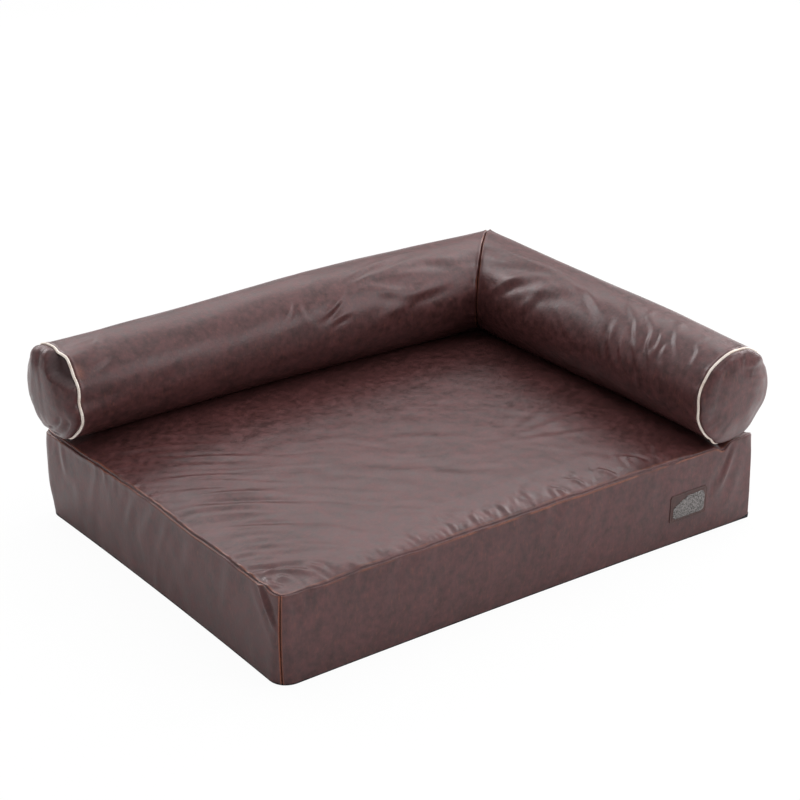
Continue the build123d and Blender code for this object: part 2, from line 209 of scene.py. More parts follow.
def spline_matrix(knots, places):
    """Matrix that carries values at the knots to other places along a natural cubic spline."""
    count = len(knots)
    gap = np.diff(knots)
    left, right = np.eye(count), np.zeros((count, count))
    i = np.arange(1, count - 1)
    left[i, i - 1], left[i, i], left[i, i + 1] = gap[i - 1] / 6, (gap[i - 1] + gap[i]) / 3, gap[i] / 6
    right[i, i - 1], right[i, i + 1] = 1 / gap[i - 1], 1 / gap[i]
    right[i, i] = -1 / gap[i - 1] - 1 / gap[i]
    second = np.linalg.solve(left, right)
    j = np.clip(np.searchsorted(knots, places, side="right") - 1, 0, count - 2)
    after = (places - knots[j]) / gap[j]
    before = 1 - after
    matrix = np.zeros((len(places), count))
    row = np.arange(len(places))
    matrix[row, j] += before
    matrix[row, j + 1] += after
    matrix += ((before**3 - before) * gap[j] ** 2 / 6)[:, None] * second[j]
    matrix += ((after**3 - after) * gap[j] ** 2 / 6)[:, None] * second[j + 1]
    return matrix


def seat_height(x, y):
    """Height of the seat: the seam's height plus the crown times one share across and one along."""
    inward = np.maximum(base_depth / 2 + crown_overhang - np.abs(y), 0)
    steep = crown_halfway / (crown_run / 2) * 2 - crown_shoulder / crown_run
    bend = (crown_shoulder - steep * crown_run) / crown_run**2
    middle = base_depth / 2 + crown_overhang - crown_run
    across = np.where(
        inward < crown_run,
        steep * inward + bend * inward**2,
        1 - (1 - crown_shoulder) * (y / middle) ** 2,
    )
    step = (base_width / 2 + crown_overhang) / (len(crown_steps) - 1)
    stations = step * np.arange(-len(crown_steps), len(crown_steps) + 1)
    shares = np.array([crown_steps[min(abs(k), len(crown_steps) - 1)]
                       for k in range(-len(crown_steps), len(crown_steps) + 1)])
    along = (spline_matrix(stations, np.ravel(np.abs(x))) @ shares).reshape(np.shape(x))
    return seam_height + crown * across * along


def noise(points, seed):
    """Smooth noise from -1 to 1: random values on a lattice of unit cells, blended by smooth steps."""
    table = np.random.default_rng(seed).uniform(-1, 1, 4096)
    cell = np.floor(points).astype(np.int64)
    part = points - cell
    part = part**3 * (part * (part * 6 - 15) + 10)
    primes = np.array((73856093, 19349663, 83492791))[:points.shape[-1]]
    total = np.zeros(points.shape[:-1])
    for corner in np.ndindex(*(2,) * points.shape[-1]):
        key = ((cell + corner) * primes).sum(-1) & 4095
        weight = np.where(np.array(corner) == 1, part, 1 - part).prod(-1)
        total += table[key] * weight
    return total


def folds(u, v, length, width, angle, seed):
    """Long soft folds: noise stretched to a length and a width along a direction, bent by wider noise."""
    turn = math.radians(angle)
    bend = 0.35 * length * noise(np.stack([u, v], -1) / (1.3 * length), seed + 100)
    along = u * math.cos(turn) + v * math.sin(turn)
    across = -u * math.sin(turn) + v * math.cos(turn) + bend
    return noise(np.stack([along / length, across / width], -1), seed)


def waves(along, length, seed):
    """Noise from -1 to 1 that changes along one direction only, in waves of a length."""
    return noise(np.stack([along / length, along * 0], -1), seed)


def seam_lift(x, y):
    """How far the seam rises or sags. The front sags between its corners, has a notch under the arm
    roll's cap and stands up beside it, and the rest waves a little."""
    reach = 45 * mm
    from_front, from_left = y + base_depth / 2, x + base_width / 2
    front = np.exp(-np.abs(from_front) / reach)
    left = np.exp(-np.abs(from_left) / reach)
    ear = np.exp(-np.hypot(from_left, from_front) / (22 * mm))
    hump = left * bell(from_front, 46 * mm, 14 * mm)
    notch = bell(x, 425 * mm, 9 * mm) * np.exp(-np.abs(from_front) / (24 * mm))
    upstand = np.interp(x, np.array((433, 443, 470, 488, 498)) * mm, (0, 0.55, 0.8, 1, 0.7))
    upstand *= bell(from_front, 0, 13 * mm)
    wave_x = waves(x, 70 * mm, 11) + 0.6 * waves(x, 26 * mm, 12)
    wave_y = waves(y, 80 * mm, 13) + 0.6 * waves(y, 28 * mm, 14)
    sag = -5.5 * mm * (1 - np.minimum(np.abs(x + 60 * mm) / (450 * mm), 1) ** 2)
    lift = front * (sag + 1.0 * mm * wave_x) + left * 1.7 * mm * wave_y
    return lift + 2.5 * mm * ear + 3 * mm * hump + 8.5 * mm * upstand - 9 * mm * notch


def seam_sway(along, seed):
    """How far a seam strays sideways, in short uneven waves."""
    return 1.7 * mm * waves(along, 38 * mm, seed)


def shoulder_lift(x, y):
    """Extra fullness of the seat just behind the front seam: it rises from the seam and dies away."""
    behind = np.maximum(y + base_depth / 2, 0) / (20 * mm)
    ends = ramp(x, -470 * mm, 90 * mm) * np.clip((370 * mm - x) / (60 * mm), 0, 1)
    return 5 * mm * behind * np.exp(1 - behind) * ends


def foot_lift(x, y):
    """How far the cover's foot is drawn up off the sole: a few millimetres at the outer corners."""
    reach = 24 * mm
    right = 2 * bell(np.hypot(x - base_width / 2, y + base_depth / 2), 0, 15 * mm)
    left = bell(np.hypot(x + base_width / 2, y - base_depth / 2), 0, reach)
    rear = bell(np.hypot(x - base_width / 2, y - base_depth / 2), 0, reach)
    return 3.5 * mm * (right + 1.7 * left + 0.6 * rear)


def slab_form(x, y, z):
    """Form of the base before the leather settles. x, y, z lie on a plain box: its corners are
    rounded, its borders swell half way up and draw in between corners, and its top is crowned."""
    rise = np.clip(z / seam_height, 0, 1)
    foot = np.where((x > 0) & (y < 0), sharp_foot_corner, foot_corner)
    corner = foot + (seam_corner - foot) * rise
    half_x, half_y = base_width / 2, base_depth / 2
    past_x = np.maximum(np.abs(x) - half_x + corner, 0) / corner
    past_y = np.maximum(np.abs(y) - half_y + corner, 0) / corner
    pull = np.maximum(past_x, past_y) / np.maximum(np.hypot(past_x, past_y), 1e-9)
    pull = np.where((past_x > 0) & (past_y > 0), pull, 1)
    plan_x = np.sign(x) * np.where(past_x > 0, half_x - corner + corner * past_x * pull, np.abs(x))
    plan_y = np.sign(y) * np.where(past_y > 0, half_y - corner + corner * past_y * pull, np.abs(y))
    straight = np.exp(-(np.hypot(x - half_x, y + half_y) / (80 * mm)) ** 2)
    swell = border_swell * (1 - (2 * rise - 1) ** 2) * (1 - 0.9 * straight)
    out_x = swell - border_draw * (1 - (y / half_y) ** 2) + 4 * mm * (1 - rise) * straight
    out_y = swell - border_draw * (1 - (x / half_x) ** 2)
    wide_x = plan_x * (1 + out_x / half_x)
    wide_y = plan_y * (1 + np.where(y < 0, out_y, 0) / half_y)
    from_left, from_front = base_width / 2 + wide_x, base_depth / 2 + wide_y
    wide_x = wide_x + seam_sway(wide_y, 15) * rise**3 * np.exp(-np.abs(from_left) / (50 * mm))
    wide_y = wide_y + 0.6 * seam_sway(wide_x, 17) * rise**3 * np.exp(-np.abs(from_front) / (50 * mm))
    lifted = seam_lift(wide_x, wide_y) + shoulder_lift(wide_x, wide_y)
    top = seat_height(np.clip(wide_x, -half_x, half_x), np.clip(wide_y, -half_y, half_y)) + lifted
    wall = z + seam_lift(wide_x, wide_y) * rise**2 + foot_lift(x, y) * (1 - rise) ** 3
    return np.stack([wide_x, wide_y, np.where(z >= seam_height - 1e-9, top, wall)], -1)


def settle(name, points, faces, held, slack, bending=5.0, foam=0.3, frames=25, most=9 * mm):
    """Lets slack leather buckle on its stuffing. Cloth springs longer than the form by the slack push
    it into folds, held points stay, springs back to the form stand for the foam, and no point
    moves farther than most."""
    mesh = bpy.data.meshes.new(name)
    mesh.from_pydata(points.tolist(), [], faces.tolist())
    skin = bpy.data.objects.new(name, mesh)
    scene.collection.objects.link(skin)
    for group_name, weights in (("held", held), ("slack", slack)):
        group = skin.vertex_groups.new(name=group_name)
        steps = np.round(weights, 2)
        for weight in np.unique(steps):
            group.add(np.nonzero(steps == weight)[0].tolist(), float(weight), "REPLACE")
    cloth = skin.modifiers.new("cloth", "CLOTH")
    set_up = cloth.settings
    set_up.quality = 5
    set_up.mass = 0.3
    set_up.tension_stiffness = set_up.compression_stiffness = 15
    set_up.shear_stiffness = 5
    set_up.bending_stiffness = bending
    set_up.tension_damping = set_up.compression_damping = set_up.shear_damping = 1
    set_up.bending_damping = 0.1
    set_up.vertex_group_mass = "held"
    set_up.pin_stiffness = foam
    set_up.vertex_group_shrink = "slack"
    set_up.shrink_min = 0
    set_up.shrink_max = -0.03
    set_up.effector_weights.gravity = 0
    cloth.collision_settings.use_collision = False
    cloth.collision_settings.use_self_collision = False
    cloth.point_cache.frame_end = frames
    for step in range(1, frames + 1):
        scene.frame_set(step)
    settled = skin.evaluated_get(bpy.context.evaluated_depsgraph_get())
    moved = np.empty(len(points) * 3, np.float32)
    settled.data.vertices.foreach_get("co", moved)
    bpy.data.objects.remove(skin)
    bpy.data.meshes.remove(mesh)
    scene.frame_set(1)
    way = moved.reshape(-1, 3).astype(float) - points
    far = np.linalg.norm(way, axis=1, keepdims=True)
    return points + way * np.minimum(1, most / np.maximum(far, 1e-9))


def quads(grid):
    """Faces of a grid of vertex numbers."""
    corners = (grid[:-1, :-1], grid[1:, :-1], grid[1:, 1:], grid[:-1, 1:])
    return np.stack(corners, -1).reshape(-1, 4)


def numbered(grid):
    """Vertex numbers of a grid's points, row by row."""
    return np.arange(grid.shape[0] * grid.shape[1]).reshape(grid.shape[:2])


slab_step = 9 * mm
slab_extents = (base_width, base_depth, seam_height - cover_foot)
slab_counts = [int(round(extent / slab_step)) + 1 for extent in slab_extents]
slab_x = np.linspace(-base_width / 2, base_width / 2, slab_counts[0])
slab_y = np.linspace(-base_depth / 2, base_depth / 2, slab_counts[1])
slab_z = np.linspace(cover_foot, seam_height, slab_counts[2])
on_shell = np.zeros(slab_counts, bool)
on_shell[[0, -1]] = on_shell[:, [0, -1]] = on_shell[:, :, [0, -1]] = True
number = np.full(slab_counts, -1)
number[on_shell] = np.arange(on_shell.sum())
box_x, box_y, box_z = (axis[on_shell] for axis in np.meshgrid(slab_x, slab_y, slab_z, indexing="ij"))
slab_points = slab_form(box_x, box_y, box_z)
slab_sides = {
    "seat": number[:, :, -1],
    "front": number[:, 0, :],
    "back": number[::-1, -1, :],
    "right": number[-1, :, :],
    "left": number[0, ::-1, :],
}
roll_tread, zip_hold = 45 * mm, 22 * mm
label_x, label_z, label_hold_x, label_hold_z = 342 * mm, 71 * mm, 52 * mm, 36 * mm

edge_x, edge_y = base_width / 2 - np.abs(box_x), base_depth / 2 - np.abs(box_y)
at_x = np.isclose(np.abs(box_x), base_width / 2)
at_y = np.isclose(np.abs(box_y), base_depth / 2)
at_z = np.isclose(box_z, seam_height)
on_seam = (at_x & at_y) | (at_z & (at_x | at_y)) | np.isclose(box_z, cover_foot)
under_rolls = at_z & ((box_x > arm_axis_x - roll_tread) | (box_y > back_axis_y - roll_tread))
under_label = (box_y < -base_depth / 2 + 1e-6) & (np.abs(box_x - label_x) < label_hold_x)
under_label &= np.abs(box_z - label_z) < label_hold_z
by_zip = (box_y > base_depth / 2 - 1e-6) & (np.abs(box_z - 80 * mm) < zip_hold)
held = np.where(on_seam | under_rolls | under_label | by_zip, 1.0, 0.2)
to_seam = np.minimum(seam_height - box_z, np.maximum(edge_x, edge_y))
to_seam = np.where(at_z, np.minimum(edge_x, edge_y), to_seam)
slack = np.where(at_z, 0.05 + 0.6 * bell(to_seam, 0, 45 * mm), 0.12 + 0.3 * bell(to_seam, 0, 30 * mm))
start = slab_points.copy()
ripple = noise(np.stack([box_x, box_y, box_z], -1) / (28 * mm), 21)
calm = 0.25 + 0.75 * bell(box_x, -base_width / 2, 260 * mm)
ripple += calm * folds(box_x, box_y, 200 * mm, 30 * mm, -37, 22) * at_z
loose = (held < 1) * 0.5 * mm * ripple
start[:, 2] += loose * at_z
start[:, 1] += np.sign(box_y) * loose * (at_y & ~at_z)
start[:, 0] += np.sign(box_x) * loose * (at_x & ~at_z)
slab_faces = np.vstack([quads(side) for side in slab_sides.values()] + [quads(number[:, ::-1, 0])])
slab_points = settle("slab_leather", start, slab_faces, held, np.clip(slack, 0, 1))


def seam_spaced(start, end, step):
    """Places from start to end that stand closer together near both ends, where a seam's fold is."""
    close = np.array((0, 0.8, 1.6, 2.4, 3.4, 4.6, 6.0, 8.0, 10.5)) * mm
    count = int(round((end - start - 2 * close[-1]) / step)) + 1
    inner = np.linspace(start + close[-1], end - close[-1], count)
    return np.concatenate([start + close[:-1], inner, (end - close[:-1])[::-1]])


def refined(grid, old_u, old_v, new_u, new_v):
    """The grid's points carried to closer rows and columns along splines."""
    rows = np.tensordot(spline_matrix(old_u, new_u), grid, (1, 0))
    return np.swapaxes(np.tensordot(spline_matrix(old_v, new_v), rows, (1, 1)), 0, 1)


def grid_normals(grid):
    """Unit normal at each point of a grid, from its slopes both ways."""
    normal = np.cross(np.gradient(grid, axis=0), np.gradient(grid, axis=1))
    return normal / np.maximum(np.linalg.norm(normal, axis=-1, keepdims=True), 1e-12)


def slab_inward(points):
    """Direction into the slab: from a point to the nearest point of a smaller box inside it."""
    inset = 30 * mm
    low = np.array((-base_width / 2 + inset, -base_depth / 2 + inset, cover_foot + inset))
    high = np.array((base_width / 2 - inset, base_depth / 2 - inset, seam_height - inset))
    way = np.clip(points, low, high) - points
    return way / np.maximum(np.linalg.norm(way, axis=-1, keepdims=True), 1e-9)


def seam_sink(distance, fine=0.0):
    """Depth below the panel near a seam: a narrow groove, and outside it a low fold that stands up.
    Both are smaller where the seam is fine, from 0 to 1."""
    groove = (3.8 - 1.4 * fine) * mm * np.exp(-(distance / ((1.8 - 0.7 * fine) * mm)) ** 1.4)
    fold = (1.1 - 0.7 * fine) * mm * bell(distance, 5.0 * mm, 2.8 * mm)
    return groove - fold


def gathers(along, distance, size, seed):
    """Puckers at a seam: ripples along it that die away from it, leaning one way and then the other."""
    lean = along + 0.45 * distance * waves(along, 90 * mm, seed + 1)
    ripple = noise(np.stack([lean / (11 * mm), distance / (70 * mm)], -1), seed)
    patch = np.clip(0.6 + 0.9 * waves(along, 110 * mm, seed + 2), 0, 1.4)
    return size * ripple * patch * np.exp(-distance / (17 * mm)) * (1 - np.exp(-distance / (2.5 * mm)))


def wear_along(distance, along, seed):
    """Where the leather's fold is rubbed to its lighter under-colour, from 0 to 1."""
    broken = np.clip(0.7 + 0.8 * waves(along, 23 * mm, seed), 0, 1)
    return broken * bell(distance, 3.0 * mm, 1.1 * mm)


def tucks(u, v, spots):
    """Single folds: each a ridge with a hollow beside it. A spot gives its middle, half length, half
    width, direction in degrees, height and bow, the lengths in millimetres."""
    total = np.zeros(np.shape(u))
    for at_u, at_v, length, width, angle, height, bow in spots:
        turn = math.radians(angle)
        aside, ahead = u - at_u * mm, v - at_v * mm
        along = (aside * math.cos(turn) + ahead * math.sin(turn)) / (length * mm)
        across = (ahead * math.cos(turn) - aside * math.sin(turn)) / (width * mm) + bow * along**2
        ridge = np.exp(-(across**2)) - 0.7 * np.exp(-((across - 1.7) ** 2))
        total += height * mm * np.exp(-(along**2)) * ridge
    return total


# Folds of the seat, from its front left corner: long ones that fan in from the left seam, short and
# fine puckers behind the front seam, a few at the corner, and a faint fan where it is sat on. Those
# of the borders run from each one's left end, and up from its foot.
chance = np.random.default_rng(5)
seat_spots = [
    (40 + 0.6 * reach, start - 0.45 * reach, reach, chance.uniform(6, 11), -37 + chance.uniform(-7, 7),
     chance.uniform(0.6, 1.5), chance.uniform(-0.2, 0.3))
    for start, reach in zip(np.arange(70, 650, 23) + chance.uniform(-8, 8, 26), chance.uniform(40, 120, 26))
]
seat_spots += [
    (place + chance.uniform(-14, 14), chance.uniform(22, 60), chance.uniform(7, 22), chance.uniform(4, 9),
     80 + chance.uniform(-60, 40), chance.uniform(0.1, 1.1), chance.uniform(-0.7, 0.7))
    for place in np.arange(310, 860, 29)
]
seat_spots += [
    (place + chance.uniform(-7, 7), chance.uniform(9, 24), chance.uniform(6, 13), chance.uniform(2.6, 4.5),
     88 + chance.uniform(-44, 38), chance.uniform(0.1, 0.7), chance.uniform(-0.5, 0.5))
    for place in np.arange(60, 900, 17)
]
seat_spots += [
    (512, 37, 15, 5, 80, 2.3, 0.4), (452, 22, 12, 4.5, 84, 1.9, -0.3), (393, 21, 12, 4.5, 76, 1.8, 0.4),
    (348, 18, 12, 4, 88, 1.5, -0.4), (273, 25, 13, 5, 95, 1.1, 0.3), (557, 20, 13, 4.5, 74, 1.9, 0.3),
    (424, 26, 11, 4, 90, 1.6, 0.3), (482, 28, 12, 4, 66, 1.4, -0.4), (618, 39, 14, 5, 68, 1.5, 0.3),
    (672, 38, 13, 5, 62, 1.3, -0.3), (736, 41, 13, 5, 58, 1.2, 0.3),
    (570, 17, 14, 5, -62, 2.2, 0.5), (613, 28, 15, 5, -58, 2.2, 0.5), (678, 24, 18, 6, -56, 2.4, 0.6),
    (750, 34, 20, 6, -52, 2.4, 0.5),
    (110, 313, 62, 7, -36, 2.0, 0.1), (123, 256, 84, 7, -37, 2.0, 0.1), (150, 448, 60, 7, -35, 1.8, 0.1),
    (96, 400, 50, 6, -36, 1.6, 0.1), (84, 352, 44, 6, -38, 1.5, 0.0), (80, 200, 60, 7, -38, 1.8, 0.1),
    (40, 66, 30, 6, -38, 2.0, 0.2), (66, 46, 26, 6, -50, 2.0, -0.2), (30, 98, 34, 7, -34, 1.6, 0.1),
    (95, 34, 20, 6, -70, 1.6, 0.2), (31, 72, 13, 6, -18, 2.8, 0.3), (15, 32, 11, 5, -50, 2.4, 0.2),
    (38, 45, 13, 6, -62, 2.0, 0.2), (13, 52, 14, 5, 78, 2.2, 0.2),
    (700, 300, 110, 9, 40, 0.9, 0.35), (740, 262, 120, 10, 22, 1.0, 0.3), (735, 215, 110, 9, 6, 0.9, -0.2),
    (700, 168, 90, 9, -14, 0.8, -0.3), (480, 300, 70, 12, -30, 0.7, 0.2), (420, 180, 80, 14, -40, 0.8, 0.1),
]
border_spots = {
    "left": [
        (713, 131, 36, 5, -48, 5.2, 0.15), (700, 116, 42, 9, -52, 1.6, 0.1), (300, 116, 38, 11, 66, 1.2, 0.2),
        (352, 112, 44, 13, 60, 1.3, 0.1), (410, 120, 34, 10, 64, 1.1, 0.0), (480, 100, 40, 14, 70, 0.9, 0.2),
        (180, 120, 34, 10, 76, 0.8, 0.0), (600, 112, 36, 12, 74, 0.9, 0.1), (70, 130, 26, 8, 110, 1.6, 0.2),
    ],
    "front": [
        (938, 122, 30, 6, 60, 1.8, 0.1), (920, 96, 34, 9, 52, 1.4, 0.2), (955, 80, 40, 12, 70, 0.9, 0.0),
        (40, 138, 18, 7, 120, 1.2, 0.0), (240, 120, 30, 12, 96, 0.9, 0.0), (520, 120, 34, 14, 84, 0.9, 0.0),
    ],
    "right": [(60, 124, 26, 8, 60, 1.4, 0.0), (680, 120, 30, 9, 116, 1.2, 0.0)],
    "back": [],
}


def with_lines(axis, edges, spread=2.4 * mm):
    """The axis with close lines added on both sides of each edge, where a cut's corner is."""
    lines = np.array((-1, -0.45, -0.12, 0.12, 0.45, 1)) * spread
    kept = axis[np.abs(axis[:, None] - np.array(edges)).min(1) > spread * 1.1]
    return np.unique(np.concatenate([kept, axis[[0, -1]]] + [edge + lines for edge in edges]))


zip_half_gap = 7 * mm
zip_channel = 6.5 * mm
base_zip_height, base_zip_length = 80 * mm, 820 * mm
bolster_zip_length = 560 * mm
zip_tail, slider_length = 8 * mm, 13 * mm
zip_closed_end = base_width / 2 - base_zip_length / 2 - slider_length - zip_tail
zip_open_end = base_width / 2 + base_zip_length / 2 + zip_tail
seat_u = with_lines(seam_spaced(0, base_width, 3 * mm), [zip_closed_end, zip_open_end])
seat_v = seam_spaced(0, base_depth, 3 * mm)
rise_v = with_lines(
    seam_spaced(0, seam_height - cover_foot, 3 * mm),
    [base_zip_height - cover_foot + side * zip_half_gap for side in (-1, 1)],
)
old_axes = {
    "seat": (slab_x + base_width / 2, slab_y + base_depth / 2),
    "front": (slab_x + base_width / 2, slab_z - cover_foot),
    "back": (slab_x + base_width / 2, slab_z - cover_foot),
    "right": (slab_y + base_depth / 2, slab_z - cover_foot),
    "left": (slab_y + base_depth / 2, slab_z - cover_foot),
}
new_axes = {
    "seat": (seat_u, seat_v),
    "front": (seat_u, rise_v),
    "back": (base_width - seat_u[::-1], rise_v),
    "right": (seat_v, rise_v),
    "left": (seat_v, rise_v),
}
slab_grids, slab_wear = [], []
roll_foot, roll_fade = 75 * mm, 30 * mm
label_u, label_v, label_flat_u, label_flat_v = 842 * mm, 69 * mm, 50 * mm, 34 * mm
zip_flat = 12 * mm
for order, (side, numbers) in enumerate(slab_sides.items()):
    u_axis, v_axis = new_axes[side]
    grid = refined(slab_points[numbers], *old_axes[side], u_axis, v_axis)
    u, v = np.meshgrid(u_axis, v_axis, indexing="ij")
    across = np.minimum(u, u_axis[-1] - u)
    if side == "seat":
        edge_u, edge_v = across, np.minimum(v, v_axis[-1] - v)
        distance = np.minimum(edge_u, edge_v)
        along = np.where(edge_u < edge_v, v, u)
        bare = np.clip((arm_axis_x - roll_foot - (u - base_width / 2)) / roll_fade, 0, 1)
        bare *= np.clip((back_axis_y - roll_foot - (v - base_depth / 2)) / roll_fade, 0, 1)
        size = np.where(edge_v < edge_u, 1.0 * mm, 2.0 * mm)
        relief = gathers(along, distance, size, 31) + bare * tucks(u, v, seat_spots)
        calm = 0.3 + 0.7 * bell(u, 0, 280 * mm)
        relief += bare * calm * 0.45 * mm * folds(u, v, 110 * mm, 13 * mm, -37, 34)
        relief *= np.clip(bare + (distance < 20 * mm) * 0.3, 0, 1)
        wear_and_shade = wear_along(distance - 1.3 * mm, along, 35) * np.where(edge_v < edge_u, 0.4, 0.9)
    else:
        to_top = v_axis[-1] - v
        distance = np.minimum(across, to_top)
        relief = gathers(u, to_top, 0.9 * mm, 40 + order) + tucks(u, v, border_spots[side])
        relief += gathers(v, across, 0.8 * mm, 50 + order)
        relief += 0.4 * mm * folds(u, v, 110 * mm, 20 * mm, 68, 60 + order)
        flat = u < 0
        if side == "front":
            flat = (np.abs(u - label_u) < label_flat_u) & (np.abs(v - label_v) < label_flat_v)
        relief = np.where(flat, 0, relief)
        if side == "back":
            past = np.maximum(zip_closed_end - (base_width - u), base_width - u - zip_open_end)
            beside = np.maximum(np.abs(v + cover_foot - base_zip_height) - zip_half_gap, past)
            relief = np.where(beside < zip_flat, 0, relief)
            channel = np.clip(0.5 - beside / (0.6 * mm), 0, 1) * zip_channel
            lip = 0.7 * mm * bell(beside, 2 * mm, 1.4 * mm)
            grid[..., 1] += lip - channel
        corner_wear = bell(across, 3.0 * mm, 1.7 * mm)
        wear_and_shade = np.maximum(wear_along(to_top, u, 70 + order) * 0.8, corner_wear)
        if side == "front":
            lip = 0.9 * np.exp(-((u - 916 * mm) / (12 * mm)) ** 2 - ((to_top - 3 * mm) / (2 * mm)) ** 2)
            wear_and_shade = np.where((u > 928 * mm) & (across > 8 * mm), 0.15 * wear_and_shade, np.maximum(wear_and_shade, lip))
    relief *= 1 - bell(distance, 0, 2.5 * mm)
    from_front_squared = (grid[..., 1] + base_depth / 2) ** 2 + (grid[..., 2] - seam_height) ** 2
    fine = np.exp(-from_front_squared / (20 * mm) ** 2)
    grid += relief[..., None] * grid_normals(grid)
    grid += seam_sink(distance, fine)[..., None] * slab_inward(grid)
    slab_grids.append(grid)
    slab_wear.append(wear_and_shade)


def new_piece(name, points, faces, wear_and_shade=None, merge=0.05 * mm, smooth=True):
    """A mesh object from points and faces, with doubles merged and every face turned outwards."""
    mesh = bpy.data.meshes.new(name)
    mesh.from_pydata(np.asarray(points).tolist(), [], np.asarray(faces).tolist())
    if wear_and_shade is not None:
        mesh.attributes.new("wear_and_shade", "FLOAT", "POINT").data.foreach_set("value", np.asarray(wear_and_shade, np.float32))
    made = bpy.data.objects.new(name, mesh)
    scene.collection.objects.link(made)
    work = bmesh.new()
    work.from_mesh(mesh)
    bmesh.ops.remove_doubles(work, verts=work.verts, dist=merge)
    bmesh.ops.recalc_face_normals(work, faces=work.faces)
    work.to_mesh(mesh)
    work.free()
    mesh.polygons.foreach_set("use_smooth", np.full(len(mesh.polygons), smooth))
    return made


def pooled_piece(name, grids, closed=False, **settings):
    """One piece from grids with the wear and painted shade of each, or None for neither. Closed grids
    are joined up across their first axis."""
    points, faces, worn = [], [], []
    for grid, wear_and_shade in grids:
        numbers = sum(len(part) for part in points) + numbered(grid)
        points.append(grid.reshape(-1, 3))
        worn.append(np.zeros(numbers.size) if wear_and_shade is None else np.ravel(wear_and_shade))
        faces.append(quads(np.vstack([numbers, numbers[:1]]) if closed else numbers))
    return new_piece(name, np.vstack(points), np.vstack(faces), np.concatenate(worn), **settings)


def stacked_piece(name, upper, lower):
    """A closed piece from two grids, one above the other, joined round their rims."""
    numbers = numbered(upper)
    rim = np.concatenate([numbers[:, 0], numbers[-1, 1:], numbers[-2::-1, -1], numbers[0, -2::-1]])
    faces = [quads(numbers), quads((numbers + numbers.size)[::-1])]
    faces.append(quads(np.stack([rim, rim + numbers.size])))
    return new_piece(name, np.vstack([upper.reshape(-1, 3), lower.reshape(-1, 3)]), np.vstack(faces))


bottom_x, bottom_y = np.meshgrid(seat_u - base_width / 2, seat_v - base_depth / 2, indexing="ij")
underside = slab_form(bottom_x, bottom_y, np.full(bottom_x.shape, cover_foot))
by_side = dict(zip(slab_sides, slab_grids))
underside[:, 0], underside[:, -1] = by_side["front"][:, 0], by_side["back"][::-1, 0]
underside[-1], underside[0] = by_side["right"][:, 0], by_side["left"][::-1, 0]
slab_cover = pooled_piece("slab_leather_cover", list(zip(slab_grids, slab_wear)) + [(underside, None)])


